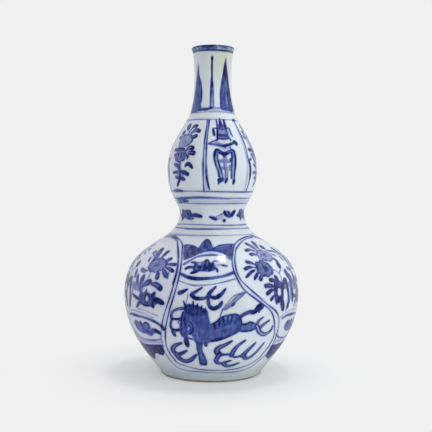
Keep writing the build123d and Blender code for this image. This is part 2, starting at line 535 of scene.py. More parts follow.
    def wheel(self, lines: tuple[WheelLine, ...]) -> None:
        """Draw lines right round the vase, each a little uneven in level and strength."""
        turn = np.radians(self.degrees)
        for drawn in lines:
            starts = self.draws.uniform(0, 2 * math.pi, len(self.wheel_waves))
            sines = [np.sin(waves * turn + start) for waves, start in zip(self.wheel_waves, starts)]
            level = drawn.climb + drawn.wander * (sines[0] + self.lesser_stray * sines[1])
            strength = drawn.ink * (1 + self.wheel_swell * sines[2] + self.wheel_ripple * sines[3])
            reach = drawn.width + self.soft_edge + 2 * drawn.wander
            rows, _ = self.window((0, drawn.climb - reach), (0, drawn.climb + reach))
            gap = np.abs(self.climb[rows][:, None] - level[None, :])
            cover = np.clip((drawn.width - gap) / self.soft_edge + 0.5, 0, 1)
            self.lay(rows, np.arange(self.columns), cover, strength[None, :])

    def paint(self, marks: tuple[Mark, ...], repeats: int) -> None:
        """Paint a motif at even steps round the vase, each after the first a little differently.

        Args:
            marks: the motif's washes and strokes, in painting order.
            repeats: how many times it goes round.
        """
        for turn in range(repeats):
            for mark in marks:
                path = np.array(mark.outline if isinstance(mark, Wash) else mark.path, float)
                degrees, climb = path.T.copy()
                if turn:
                    reach, rate, step = self.drift
                    path[:, 0] += reach * np.sin(rate * climb + step * turn)
                    reach, rate, step = self.sway
                    path[:, 1] += reach * np.sin(rate * degrees + step * turn)
                path[:, 0] += turn * 360 / repeats
                if isinstance(mark, Wash):
                    self.flood(mark, path)
                else:
                    self.stroke(mark, path)

    def bleed(self) -> None:
        """Let the cobalt run a little way into the glaze round each stroke."""
        reach = math.ceil(self.bleed_reach * self.bleed_spread)
        steps = range(-reach, reach + 1)
        shares = np.exp([-0.5 * (step / self.bleed_spread) ** 2 for step in steps])
        shares /= shares.sum()
        halo = sum(share * np.roll(self.ink, step, axis=1) for step, share in zip(steps, shares))
        padded = np.pad(halo, ((reach, reach), (0, 0)), mode="edge")
        rows = len(self.climb)
        halo = sum(share * padded[reach + step:reach + step + rows] for step, share in zip(steps, shares))
        self.ink = np.maximum(self.ink, self.bleed_strength * halo)

    def sample(self, degrees: np.ndarray, climb: np.ndarray) -> np.ndarray:
        """Strength of the cobalt at places, blended between the spots round each.

        Args:
            degrees: round the vase from the front.
            climb: millimetres up the wall.

        Returns:
            Ink from 0 to 1 at each place.
        """
        column = (degrees + 180) / 360 * self.columns
        row = np.clip(climb / self.pitch, 0, len(self.climb) - self.short_of_end)
        left = np.floor(column).astype(int)
        low = row.astype(int)
        u, v = column - left, row - low
        left, right = left % self.columns, (left + 1) % self.columns
        below = self.ink[low, left] * (1 - u) + self.ink[low, right] * u
        above = self.ink[low + 1, left] * (1 - u) + self.ink[low + 1, right] * u
        return below * (1 - v) + above * v


@dataclass(frozen=True)
class NeckLeaves:
    """Four stiff leaves that stand up round the neck, with a thin blade between each and the next."""

    repeats: int = 4
    turn: float = -3.0
    rings: tuple[WheelLine, ...] = (
        WheelLine(333.2, 2.0, 0.16),
        WheelLine(330.5, 0.8, 0.9),
        WheelLine(335.4, 1.2, 1.0, wander=0.1),
        WheelLine(278.0, 0.6, 0.78),
        WheelLine(276.0, 1.3, 0.24),
        WheelLine(274.3, 0.5, 0.55),
    )
    leaf: tuple[Mark, ...] = (
        wash((26.5, 277), (25.5, 290), (26.5, 295), (29, 300), (32, 305), (36, 310), (40, 318), (44.5, 324),
             (49, 318), (56, 310), (61, 303), (66, 297), (71, 290), (75, 284), (76, 277), ink=0.78,
             streaks=0.14),
        wash((50, 277), (50, 298), (45, 322), (49, 318), (56, 310), (61, 303), (66, 297), (71, 290),
             (75, 284), (76, 277), ink=1.0),
        wash((36, 310), (40, 318), (44.5, 324), (49, 318), (52, 311), (44, 306), ink=0.95),
        lift((46, 280), (46.5, 286), (45.5, 292), width=0.7, ink=0.5),
        line((26.5, 278), (25.5, 290), (26.5, 295), (29, 300), (32, 305), (36, 310), (40, 318), (44.5, 324),
             width=0.5, ink=0.86),
        line((44.5, 322), (44, 310), (43, 300), width=0.7, ink=0.95),
    )
    left_leaf: tuple[Mark, ...] = (
        wash((-74, 275), (-72, 285), (-68, 292), (-62, 301), (-54, 310), (-47, 319.5), (-43, 310),
             (-38.5, 305), (-35, 300), (-32, 295), (-30.5, 290), (-30.5, 283), (-31, 276), ink=0.78,
             streaks=0.1),
        wash((-52, 310), (-47, 319.5), (-43, 310), (-38.5, 305), (-35, 300), (-41, 299), (-50, 300),
             ink=0.88),
        line((-38, 304), (-33, 296), (-31.2, 290), (-31.4, 284), width=0.7, ink=0.92),
        line((-31, 276.6), (-12, 277), (0, 278.7), width=1.2, ink=0.95),
    )
    blade: tuple[Mark, ...] = (
        wash((-4.5, 278), (-3, 290), (-3, 300), (0, 324), (3, 300), (4.5, 290), (6.5, 278), ink=0.4),
        line((0.5, 324), (-0.6, 312), (-2.2, 300), (-2.6, 290), (-4, 278), width=0.75, ink=0.86),
        line((0.5, 324), (1.5, 312), (3, 300), (4.2, 290), (6.5, 278), width=0.65, ink=0.72),
        dab((0.5, 325), (0.5, 321.5), width=1.2, ink=1.0),
        dab((0, 323), (0, 312), (0.5, 303), width=0.8, ink=0.92),
        dab((-0.5, 305), (1, 300), (1.5, 297), width=1.1, ink=0.97),
    )
    lip: tuple[Mark, ...] = (
        wash((-75, 331), (-70, 335), (-30, 335), (8, 335), (10, 331.2), (-30, 331.2), ink=0.6,
             streaks=0.35),
        wash((10, 331), (8, 335), (40, 335), (72, 334.6), (74, 331), (40, 331.2), ink=0.36, streaks=0.4),
        dab((-28, 333.6), (-10, 334), (4, 333.2), width=1.3, ink=0.86),
        dab((22, 334), (34, 333.8), (46, 333), width=1.0, ink=0.62),
        lift((-52, 333), (-40, 333), width=0.8, ink=0.35),
        lift((11, 335), (14, 335.2), (17, 335), width=0.6, ink=0.5),
    )

    def paint(self, canvas: Canvas) -> None:
        """Paint the rings above and below the leaves, then the leaves, one of them narrower than the rest."""
        canvas.wheel(self.rings)
        step = 360 / self.repeats
        for quarter in range(self.repeats - 1):
            canvas.paint(turned(self.leaf, self.turn + step * quarter), 1)
        canvas.paint(turned(self.blade, self.turn), self.repeats)
        canvas.paint(turned(self.left_leaf + self.lip, self.turn), 1)


@dataclass(frozen=True)
class UpperBulb:
    """Panels round the upper bulb: a flowering spray and a censer on its stand, by turns."""

    repeats: int = 3
    turn: float = -1.0
    divider_turn: float = -2.5
    far_turns: tuple[float, ...] = (-2.0, 109.0, 229.0)
    arc_repeats: int = 2
    rings: tuple[WheelLine, ...] = (
        WheelLine(266.7, 0.55, 0.52),
        WheelLine(198.0, 0.7, 0.62),
        WheelLine(191.2, 0.6, 0.44),
        WheelLine(188.4, 2.0, 0.14),
        WheelLine(186.2, 0.8, 0.4),
    )
    dividers: tuple[Mark, ...] = (
        wash((-8.5, 201), (-8.5, 264), (-4.5, 264), (-5.5, 245), (-5, 220), (-3, 207), (-2, 201), ink=0.22),
        wash((-8.5, 256), (-8.5, 264), (-4.5, 264), (-5, 256), ink=0.45),
        line((-8.3, 266), (-8.6, 245), (-8.8, 225), (-8.5, 198), width=0.65, ink=0.86),
        line((-4.3, 266), (-5.4, 245), (-5.2, 228), (-4.5, 210), width=0.65, ink=0.88),
        dab((-5, 222), (-4.3, 211), (-2.5, 204), (-0.8, 199.5), width=1.1, ink=0.8, last_ink=0.97),
    )
    far_divider: tuple[Mark, ...] = (
        wash((50, 228), (50.5, 264), (54.5, 264), (54.5, 228), ink=0.3, streaks=0.2),
        wash((49.5, 201), (50, 224), (53.5, 224), (53, 201), ink=0.22),
        line((51, 266.5), (55, 267), (58, 267), width=1.2, ink=0.85),
        line((54.5, 266), (55, 245), (54.5, 228), width=0.8, ink=0.85),
        dab((54, 226), (58, 227), (63, 228.3), width=1.2, ink=0.85),
        dab((55, 227), (58, 220), (57.8, 209), width=1.9, ink=1.0),
        line((57.5, 211), (56.5, 204), (55, 199), width=0.8, ink=0.85),
    )
    censer: tuple[Mark, ...] = (
        wash((9.2, 246), (9.4, 256.5), (24.9, 256.5), (25.3, 246), ink=0.56, streaks=0.12),
        lift((13.5, 254.5), (17, 253), (21, 254.5), width=1.8, ink=0.43),
        wash((9.4, 256), (10.5, 261), (23.8, 261), (24.9, 256), ink=0.72),
        wash((8.7, 245.8), (8.7, 250.3), (25.3, 250.3), (25.8, 246), ink=0.8),
        lift((12, 247.8), (22, 247.8), width=0.8, ink=0.62),
        line((9, 250.3), (25, 250.3), width=0.5, ink=0.9),
        line((8.9, 266.3), (9.4, 259.9), (8.7, 249.4), (8.3, 245.2), width=0.85, ink=0.92),
        line((25, 266.3), (24.9, 259.9), (25.2, 252.9), (25.6, 249), (28.7, 245.2), width=0.9, ink=0.95),
        flame((16.5, 259), (16.3, 267.3), width=2.1, ink=0.9),
        flame((24.6, 259), (25, 266.6), width=1.7, ink=0.95),
        dab((2, 256.5), (3, 252.4), (4.2, 249.2), width=1.3, ink=0.93),
        line((1.8, 257), (9, 257.2), width=0.6, ink=0.78),
        wash((26.5, 250), (26.8, 256.5), (31.5, 257), (32.5, 250.5), ink=0.3),
        line((27, 257.6), (31.6, 257.3), (32.3, 253.3), (33.3, 249), width=0.7, ink=0.8),
        wash((2, 241.8), (8, 243.2), (16, 241.5), (26, 242.3), (33, 243.5), (28, 240.3), (17, 238.5),
             (7, 239.6), ink=0.5),
        line((-4, 241.3), (1, 243.2), (8, 244.9), width=0.9, ink=0.9),
        line((-3.5, 241.1), (7, 240), (17, 239.2), (27.9, 241.3), (34, 243.2), width=1.2, ink=0.86),
        dab((33.7, 244.2), (37.3, 241), width=2.0, ink=0.98),
        wash((10, 235.8), (11, 238.5), (25, 238.5), (26, 235.8), ink=0.28),
        dab((17, 238.6), (19, 236.8), width=0.8, ink=0.75),
        dab((25, 238.5), (26.5, 236.6), width=0.8, ink=0.7),
        wash((7.6, 223.8), (7.6, 226.5), (25, 226.5), (25, 223.8), ink=0.5),
        wash((10, 217.8), (10, 220.3), (25, 220.3), (25, 217.8), ink=0.38),
        wash((22.5, 224), (22.8, 227.5), (25.5, 228), (25.8, 224), ink=0.74),
        wash((22, 217), (22, 221.5), (25.6, 221.5), (25.6, 217), ink=0.56),
        wash((17, 208), (17.2, 218), (20.6, 218), (20.2, 209), ink=0.26),
        wash((4, 229.5), (4.3, 234), (6.5, 235.7), (11, 234), (16, 232.6), (22, 234), (28, 235.5),
             (31, 233.8), (31.8, 229), (26, 228.5), (24.5, 232), (18.5, 230.5), (15.8, 228.2), (13, 230.5),
             (8.5, 231.5), (7.6, 228), ink=0.62),
        wash((9, 233.6), (16, 232.8), (24, 233.8), (22.5, 231.3), (18, 229.8), (16, 227.8), (14, 229.8),
             (10, 231.6), ink=0.95),
        line((4, 231), (4.6, 234.2), (7, 235.7), (11.5, 234.2), (16, 233), (22, 234.2), (28, 235.6),
             (31, 233.9), width=0.9, ink=0.92),
        line((15.6, 229), (15.8, 221), (16.2, 218), width=0.9, ink=0.58),
        line((18.3, 229.5), (18.3, 221), (18.5, 212), width=0.6, ink=0.58),
        lift((10.2, 229), (11.8, 229.9), width=1.5, ink=0.06),
        lift((20.4, 228.5), (22, 229.2), width=1.5, ink=0.1),
        wash((3.6, 230), (7.5, 230.5), (7.7, 226), (9.8, 221), (13, 214.5), (14.2, 210.5), (10, 210.5),
             (8.3, 216.5), (5.4, 222), ink=0.3),
        line((5.7, 235.4), (3.7, 231.9), (3.5, 227.9), (5.3, 222), (8.4, 216.4), (9.8, 211.4), width=0.95,
             ink=0.94),
        line((7.7, 231.4), (7.5, 227.4), (9.7, 221.4), (12.9, 214.7), (14.4, 210.4), width=0.75, ink=0.85),
        dab((9.5, 208.2), (13.7, 208.9), width=2.4, ink=1.0),
        dab((9.6, 206.8), (9.2, 205), width=1.0, ink=0.97),
        wash((26.6, 231), (30.8, 232), (31.2, 226), (30.3, 218), (29, 207), (26.5, 209.5), (25.8, 218),
             (26, 226), ink=0.36),
        line((30.8, 233.8), (31.3, 228.7), (30.5, 221.4), (29.4, 212.7), (29, 205.4), width=1.0, ink=0.94),
        line((26.6, 233), (26.6, 228), (25.6, 221), (25.4, 210.5), width=0.9, ink=0.92),
        line((17.2, 218), (16.8, 208), width=0.5, ink=0.62),
        line((20.6, 218), (20.2, 209.5), width=0.5, ink=0.62),
        dab((19.7, 210.4), (17.9, 205.9), width=1.4, ink=0.97),
        dab((29.6, 209.4), (28.9, 205), width=1.4, ink=0.97),
    )
    spray: tuple[Mark, ...] = (
        wash((-34.2, 250), (-29.4, 245), (-31.5, 242), (-37.2, 238.8), (-44.2, 237.6), (-51.2, 238),
             (-54.2, 243), (-51.2, 249.5), (-43.2, 250.6), ink=0.42, streaks=0.12),
        line((-51.2, 238), (-54.2, 243), (-51.2, 249.5), (-43.2, 250.6), (-34.2, 250), width=0.6, ink=0.7),
        line((-34.2, 250), (-31.4, 247.6), (-29.6, 244.6), (-32, 241.6), (-37.2, 238.8), width=0.75,
             ink=0.86),
        dab((-42.2, 244.4), (-41.2, 243.4), width=0.9, ink=0.8),
        petal((-45.6, 255.4), (-48.6, 260.6), width=2.4, ink=0.88, core=0.72),
        petal((-51.4, 251), (-55.4, 253.6), width=2.1, ink=0.84, core=0.66),
        petal((-51.6, 247.6), (-59.4, 248.4), width=1.8, ink=0.66, core=0.5),
        petal((-38.4, 257.3), (-34.4, 259.7), (-30, 259.9), width=1.9, ink=0.94, core=0.74),
        line((-42.2, 252), (-39.7, 255.6), (-37.2, 258), width=0.6, ink=0.8),
        line((-38.6, 251), (-36.4, 253.2), (-34, 254.6), width=0.6, ink=0.85),
        petal((-35.6, 252), (-28.7, 255.5), (-22.3, 254.3), width=2.1, ink=0.96, core=0.56),
        petal((-33.2, 248.4), (-29.3, 248), (-25.4, 249), width=2.1, ink=0.98, core=0.6),
        *bloom((-44.6, 230.4), across=10.5, up=5.8, ink=0.66, rim=0.95, petals=8),
        lift((-46, 231.8), (-45.4, 229), width=0.6, ink=0.4),
        lift((-40.6, 231.5), (-40.2, 229.4), width=0.5, ink=0.45),
        lift((-51.5, 230.5), (-51, 229), width=0.6, ink=0.42),
        dab((-49, 233), (-47.5, 229.5), width=1.0, ink=0.95),
        dab((-43.5, 233.5), (-42, 230), (-44, 228), width=0.9, ink=0.95),
        dab((-38.5, 233), (-38, 229.5), width=0.9, ink=0.85),
        line((-59, 235.8), (-50.2, 236.2), (-40.4, 236), width=1.6, ink=0.82),
        dab((-52, 231.5), (-58, 231), width=1.6, ink=0.64),
        petal((-36, 234.8), (-30.6, 237.6), (-26.6, 237.1), width=2.1, ink=0.97, core=0.42),
        petal((-32, 232.8), (-27.4, 232.8), (-24.1, 232.4), width=2.4, ink=0.97, core=0.56),
        dab((-31, 230.8), (-32.5, 227.2), width=1.2, ink=0.95),
        wash((-50, 222), (-44, 223), (-39, 216.5), (-37, 212), (-41, 208.5), (-47, 208.5), (-50, 212),
             (-47, 216.5), ink=0.5),
        dab((-34.6, 220.7), (-29.6, 222.7), (-24, 219), width=1.8, ink=0.98),
        petal((-44, 215.4), (-37, 215.4), (-31.2, 213.6), width=2.0, ink=0.97, core=0.76),
        dab((-42, 209.9), (-35.8, 208.9), width=1.9, ink=0.87),
        dab((-52.6, 210.9), (-45.6, 210.2), width=1.5, ink=0.8),
        dab((-57.6, 214.9), (-49, 215.4), (-43, 215.4), width=1.6, ink=0.76),
        dab((-54.6, 222.4), (-48.6, 221.4), (-43.6, 218.9), width=1.9, ink=0.8),
        line((-43.1, 224.4), (-43.6, 219.4), (-43.1, 213.4), (-44.1, 209.4), (-47.5, 206), (-50.6, 203.4),
             width=1.2, ink=0.95),
    )
    foot_arcs: tuple[Mark, ...] = (
        dab((-66, 198), (-54, 198.5), (-43, 198.2), width=1.6, ink=0.6, last_ink=0.9),
        dab((-72, 190.6), (-45, 191.2), (-20, 192.1), (0, 191.8), (30, 191), width=1.3, ink=0.88,
            last_ink=0.45),
        wash((-64, 186), (-64, 190.5), (-41, 190), (-41, 186.8), ink=0.7, streaks=0.25),
        dab((-50, 188.4), (-43, 188), width=1.4, ink=0.93),
        dab((-42, 186), (-5, 186), (40, 186.2), width=0.8, ink=0.55, last_ink=0.3),
    )

    def paint(self, canvas: Canvas) -> None:
        """Paint the panels and the rings that bound them."""
        canvas.paint(turned(self.dividers, self.divider_turn), self.repeats)
        canvas.paint(turned(self.censer + self.spray, self.turn), self.repeats)
        for turn in self.far_turns:
            canvas.paint(turned(self.far_divider, turn), 1)
        canvas.wheel(self.rings)
        canvas.paint(self.foot_arcs, self.arc_repeats)


@dataclass(frozen=True)
class WaistSprigs:
    """Loose leaves that trail round the waist."""

    repeats: int = 3
    rings: tuple[WheelLine, ...] = (
        WheelLine(165.7, 0.6, 0.62),
        WheelLine(161.8, 0.7, 0.52),
        WheelLine(154.6, 0.55, 0.34),
    )
    sprigs: tuple[Mark, ...] = (
        wash((-60, 172.5), (-58, 177), (-50, 179.5), (-41, 179.4), (-38, 176), (-38, 172.5), (-44, 170.5),
             (-52, 171.5), ink=0.66, streaks=0.2),
        dab((-50, 178.6), (-46, 175.5), (-42, 173.6), width=1.6, ink=0.92),
        dab((-41, 179), (-40, 175.5), (-41.5, 170.8), width=1.3, ink=0.9),
        dab((-57, 175.5), (-52, 174), (-46, 172.4), width=1.3, ink=0.84),
        lift((-46.8, 178), (-44.6, 177.4), width=0.5, ink=0.4),
        lift((-50.6, 176), (-49.4, 174.8), width=0.5, ink=0.42),
        dab((-42, 174.2), (-30, 174.8), (-17.2, 173.6), width=1.9, ink=0.86, last_ink=0.98),
        dab((-40, 171.2), (-33, 172), width=1.2, ink=0.76),
        petal((-4.8, 173.6), (1, 172.6), (6.4, 171.6), width=1.6, ink=0.95),
        wash((8.5, 171.5), (9, 174), (14, 175.2), (19.5, 177), (20, 173), (14, 170.5), ink=0.26),
        line((8, 173.8), (14, 175.2), (20, 177), width=0.6, ink=0.5),
        dab((19.8, 169.6), (22.4, 170.8), width=1.5, ink=0.95),
        wash((21, 175.6), (21.6, 179.2), (30, 178.6), (38, 178), (45, 179.6), (45, 176.5), (36, 173.6),
             (26, 173.6), ink=0.6, streaks=0.2),
        dab((21.4, 178.8), (24, 176), (29, 174.6), width=1.5, ink=0.96),
        dab((28, 178.6), (31.5, 176.5), (33.5, 174), width=1.2, ink=0.92),
        dab((37.6, 174.6), (40, 177), (43.6, 178.8), width=1.9, ink=1.0),
        dab((30, 177.8), (34, 175.6), (38.5, 174), width=1.3, ink=0.92),
        dab((23.5, 174.6), (29, 173.7), (35, 173.4), width=1.0, ink=0.86),
        lift((33.6, 177.2), (35.2, 177.4), width=0.7, ink=0.15),
        wash((48, 174.5), (52, 176), (55.5, 180), (64, 180), (66, 174), (60, 170.5), (55, 172.5), ink=0.74,
             streaks=0.15),
        dab((48.6, 174.6), (54, 174.8), (59, 177.5), width=1.5, ink=0.96),
        dab((57.6, 179.5), (58.6, 175), (58.8, 170.6), width=1.6, ink=0.98),
    )
    ring_strokes: tuple[Mark, ...] = (
        dab((-45, 161.3), (-10, 161.8), (32, 162.2), width=1.0, ink=0.82, last_ink=0.5),
        dab((-85, 153.3), (-40, 153.4), (12, 153.9), width=0.8, ink=0.56, last_ink=0.3),
    )

    def paint(self, canvas: Canvas) -> None:
        """Paint the leaves and the rings below them."""
        canvas.paint(self.sprigs, self.repeats)
        canvas.wheel(self.rings)
        canvas.paint(self.ring_strokes, 1)


@dataclass(frozen=True)
class BeastPanel:
    """Pear-shaped panel of the lower bulb: a beast among flames, under a sprig and a scalloped bracket."""

    repeats: int = 3
    border: tuple[Mark, ...] = (
        line((-57, 152.5), (-40, 147.5), (-30, 140), (-24, 126), (-21, 110), (-22.3, 92), (-26.5, 73),
             (-31, 54), (-33.3, 37), (-30, 22.5), width=0.65, ink=0.95),
        line((-31, 26), (-28.5, 20.8), (-14, 15.5), (0, 14), (14, 13.8), (27, 15.5), (37, 19.5), (44, 26),
             width=0.65, ink=0.66),
        line((43, 24.5), (48, 44), (45, 60), (39.3, 73.5), (28, 84.7), (19, 95.5), (14.6, 114), (19, 133.5),
             (28, 145), (44, 151), (63, 152.7), width=0.65, ink=0.94),
        line((-60, 150.5), (-43, 146.3), (-35, 139.3), (-28.5, 129), (-24.2, 117), (-23, 104), (-25.8, 86),
             (-31, 67), (-33.3, 58), width=0.6, ink=0.9),
        line((-33.3, 58), (-36.2, 45), (-37, 30), (-30, 14), (-5, 11), (25, 10.5), (40, 15.5), (50, 29),
             width=0.6, ink=0.55),
        line((50, 29), (51, 46), (47, 68), (35, 81), (25, 92.5), (18.5, 102), (16.5, 112), (17.8, 123),
             (22, 134), (29, 141.5), (38, 147), (48, 149.5), (60, 150.5), width=0.6, ink=0.88),
        line((-38, 143), (-31, 133.5), (-25.5, 121.5), (-23.4, 108), (-24.3, 97), width=0.85, ink=0.9),
        dab((-62, 151.5), (-52, 150.5), (-43, 148), width=1.9, ink=0.78),
    )
    bracket: tuple[Mark, ...] = (
        wash((-28.2, 140), (-25, 141.3), (-21.5, 141), (-16.8, 139.7), (-13, 136.9), (-11.3, 139.7),
             (-10, 145), (-7.6, 148.7), (-5, 149.8), (-2.5, 148.3), (-0.4, 144.2), (1.7, 137.4),
             (4.2, 139.2), (8.4, 141.5), (15, 142.4), (23.5, 142.6), (20.2, 138), (17.6, 131.5),
             (15.5, 124), (14.7, 120.8), (12.6, 124.2), (9.2, 128.6), (4.2, 131), (-3.3, 131.4),
             (-9.2, 128.7), (-14.3, 124.2), (-19.3, 120.8), (-21, 120.3), (-23.1, 127), (-25.7, 134.2),
             ink=0.87, streaks=0.07),
        lift((5, 137), (11, 139.5), (18, 140.2), width=1.5, ink=0.68),
        lift((4, 134), (9, 136), (17, 137), width=1.2, ink=0.74),
        line((-26, 138), (-21, 130), (-18, 124), width=0.9, ink=0.95),
        line((-20, 139), (-16, 132), (-14, 127), width=0.9, ink=0.95),
        line((2, 137), (14, 141.8), (22, 142.2), width=0.6, ink=0.85),
        wash((-20, 117.5), (-14.5, 123.5), (-9, 128), (-3, 130.2), (4, 130), (9, 127.8), (14, 121),
             (12, 121.5), (7, 125), (0, 126.5), (-7, 125.5), (-13, 121.5), (-18, 116), ink=0.26),
        line((-19.3, 116), (-16, 119.7), (-11.8, 124), (-6.7, 126), (0, 127), (5, 126.6), (8, 125.6),
             width=1.1, ink=0.7),
        # Painted highlight: the dark line breaks off between 8 and 11.5 degrees, where the lamp's reflection
        # falls.
        line((11.5, 125.2), (13, 123), (14.3, 121), width=1.0, ink=0.55),
        line((-20, 106.5), (-15, 103.8), (-8.4, 102.7), (0, 103.4), width=1.5, ink=0.93),
        line((0, 103.4), (7.6, 105.2), (14, 108), width=1.4, ink=0.76),
        line((-21, 100.6), (-13.4, 97.5), (-6.7, 97), (3.4, 98.8), (15, 102.5), width=0.6, ink=0.5),
    )
    sprig: tuple[Mark, ...] = (
        wash((-12.5, 117.5), (-10.5, 118.6), (-7.8, 118.6), (-5.2, 120), (-2.2, 120.2), (-0.6, 118.4),
             (1.6, 118.6), (2.2, 115.6), (3, 113), (1.8, 110.4), (-2, 109), (-6, 109.4), (-9.6, 108.8),
             (-12.6, 110.8), (-12, 114), ink=0.82, streaks=0.1),
        dab((-14.6, 118), (-12, 118), (-10.8, 115.5), width=1.3, ink=0.94),
        dab((-5, 119.6), (-3.4, 121), (-1.8, 119), width=1.0, ink=0.94),
        dab((-18, 111), (-15.4, 113), (-12.2, 113), width=1.5, ink=0.94),
        dab((-13.6, 107.6), (-10.6, 108.8), (-8, 110.4), width=1.5, ink=0.98),
        dab((-12.2, 115), (-11.6, 111), width=1.0, ink=0.92),
        dab((-9.5, 114), (-6.8, 113.4), width=1.3, ink=0.92),
        dab((-5, 116.5), (-3.5, 113), (-4.5, 110), width=1.7, ink=0.96),
        dab((-1.8, 117), (-0.6, 113), (-1.4, 110.4), width=1.7, ink=0.98),
        dab((1.2, 117.4), (0.6, 114), width=1.2, ink=0.96),
        dab((1.2, 113.4), (3.4, 111.6), (3.9, 108.8), width=1.2, ink=0.98),
        lift((-9.2, 116.6), (-7.4, 116.9), width=0.9, ink=0.32),
        lift((-6.6, 111.4), (-6.2, 112.4), width=0.5, ink=0.5),
        lift((-3, 118), (-2.6, 118.8), width=0.5, ink=0.35),
        lift((-10.4, 112), (-9.6, 112.3), width=0.6, ink=0.5),
        dab((0.8, 119.2), (3.6, 120.2), (6, 120), width=1.3, ink=0.62, last_ink=0.45),
        dab((2.6, 115.8), (6, 115.6), width=1.4, ink=0.3),
        dab((6.6, 115.8), (8.6, 115.2), (11, 114.6), width=1.1, ink=0.86, last_ink=0.76),
    )
    beast: tuple[Mark, ...] = (
        wash((-17.2, 70), (-16.8, 76), (-15.6, 81), (-10.6, 81), (-5.3, 78.6), (-2.3, 76.3), (-1.3, 70),
             (0, 64.5), (3, 66.5), (6.5, 71), (13, 73), (16.5, 72), (18.7, 67), (19.2, 60.5), (16.5, 55.8),
             (8, 50.2), (0.8, 47.4), (-3, 45.5), (-9.5, 45.5), (-12, 48.5), (-18, 50.5), (-20, 54),
             (-20, 62), ink=0.78, streaks=0.06),
        wash((-10, 47), (-9.8, 40), (-9, 32), (-8.8, 26), (-9.2, 21), (-6, 20), (-3, 21), (-3.3, 27),
             (-4.8, 33), (-6.2, 40), (-6, 47), ink=0.82, streaks=0.06),
        wash((-16.6, 75.5), (-16.2, 80), (-14.5, 79.5), (-11, 81), (-8, 80), (-5.5, 78.6), (-3, 77),
             (-2.4, 73.5), (-4, 71.5), (-9, 71), (-14, 71.5), ink=0.9, streaks=0.05),
        wash((-16.2, 75.8), (-15.9, 79.8), (-14.5, 79.4), (-11, 80.8), (-7.6, 79.8), (-4, 77.6),
             (-3.2, 74.8), (-9, 72.6), (-14, 73), ink=0.98, streaks=0.05),
        wash((-15.4, 76), (-15.4, 79.5), (-11, 80.6), (-7, 79.3), (-4.4, 77.2), (-4.6, 75.6), (-9, 74.6),
             (-14, 74.6), ink=1.0),
        flame((-15, 77.5), (-16.8, 83.4), width=1.2, ink=0.98),
        line((-15.2, 82), (-14.6, 85), (-14.3, 89), width=0.5, ink=0.62),
        flame((-13.2, 78), (-13, 81.4), width=1.2, ink=1.0),
        flame((-11.2, 78), (-10.8, 83.2), width=1.5, ink=1.0),
        flame((-8.6, 77.5), (-8.2, 81.6), width=1.3, ink=1.0),
        flame((-6.2, 76.5), (-5.6, 80.2), width=1.2, ink=0.98),
        flame((-4.2, 75.5), (-3.4, 78.2), width=1.1, ink=0.96),
        lift((-13.9, 77.6), (-13.9, 79.8), width=0.35, ink=0.74),
        lift((-9.8, 77.8), (-9.6, 80), width=0.35, ink=0.76),
        lift((-7.3, 76.8), (-7, 79), width=0.3, ink=0.76),
        lift((-5.1, 76), (-4.8, 77.8), width=0.3, ink=0.8),
        lift((-4, 69), (-4.6, 62), (-6.5, 54), width=2.2, ink=0.75),
        lift((-9, 56), (-8.6, 51), (-7.6, 47.5), width=1.3, ink=0.6),
        line((-17, 74), (-18.2, 69), (-18.8, 63), (-17.8, 58), (-15.8, 55.2), width=0.9, ink=0.96),
        line((-15.6, 71.5), (-16.6, 67), (-15.8, 63), width=0.8, ink=0.95),
        line((-16, 57), (-16.4, 62), (-14.8, 66.2), (-12.4, 65.2), (-11.2, 61), (-11.8, 57), (-13.6, 55),
             width=0.8, ink=0.97),
        lift((-14.3, 58.4), (-13.9, 61), width=0.9, ink=0.36),
        line((-14.2, 63.4), (-13, 61), (-13, 57.8), width=0.45, ink=0.9),
        lift((-14.6, 52.8), (-12.4, 52), width=1.4, ink=0.2),
        lift((-12, 51.5), (-11.6, 48.6), width=0.7, ink=0.42),
        line((0, 64), (3, 66.3), (6.5, 70.8), (13, 72.8), (16.5, 71.8), (18.6, 67), (19, 60.5), (16.5, 56),
             (8, 50.4), (0.8, 47.6), width=0.7, ink=0.92),
        line((18.4, 60), (15.5, 56.6), (8, 51.4), (0.5, 48.6), width=1.3, ink=0.9),
        dab((2.3, 59), (2, 66), width=1.1, ink=0.93),
        dab((5, 62), (5, 69), width=1.2, ink=0.97),
        dab((7.5, 65), (7.2, 71), width=1.0, ink=0.97),
        dab((9.8, 65.5), (10, 72), width=0.9, ink=0.95),
        dab((12.3, 66), (12.8, 72.3), width=0.9, ink=0.93),
        dab((15, 64), (15.8, 71), width=1.0, ink=0.9),
        lift((8.5, 68.3), (8.8, 70.6), width=0.6, ink=0.4),
        lift((11.2, 68.5), (11.5, 71), width=0.6, ink=0.42),
        lift((13.9, 68), (14.4, 70.6), width=0.6, ink=0.5),
        lift((4, 58), (9, 61.5), (14, 63), width=1.4, ink=0.7),
        dab((-3.6, 47), (-3.4, 42.8), width=1.6, ink=0.92),
        dab((-16.6, 51), (-16.5, 46.5), (-16.2, 41.8), width=2.4, ink=0.98),
        dab((-8.6, 23.5), (-6, 22), (-3.8, 23), width=1.8, ink=0.95),
        line((-9.9, 46), (-9.5, 38), (-8.8, 31), (-9, 23), width=0.6, ink=0.9),
        line((-6, 46), (-6.2, 38), (-4.7, 32), (-3.4, 25), width=0.6, ink=0.9),
        lift((-7.8, 40), (-7.2, 34), (-6.4, 28), width=0.7, ink=0.66),
    )
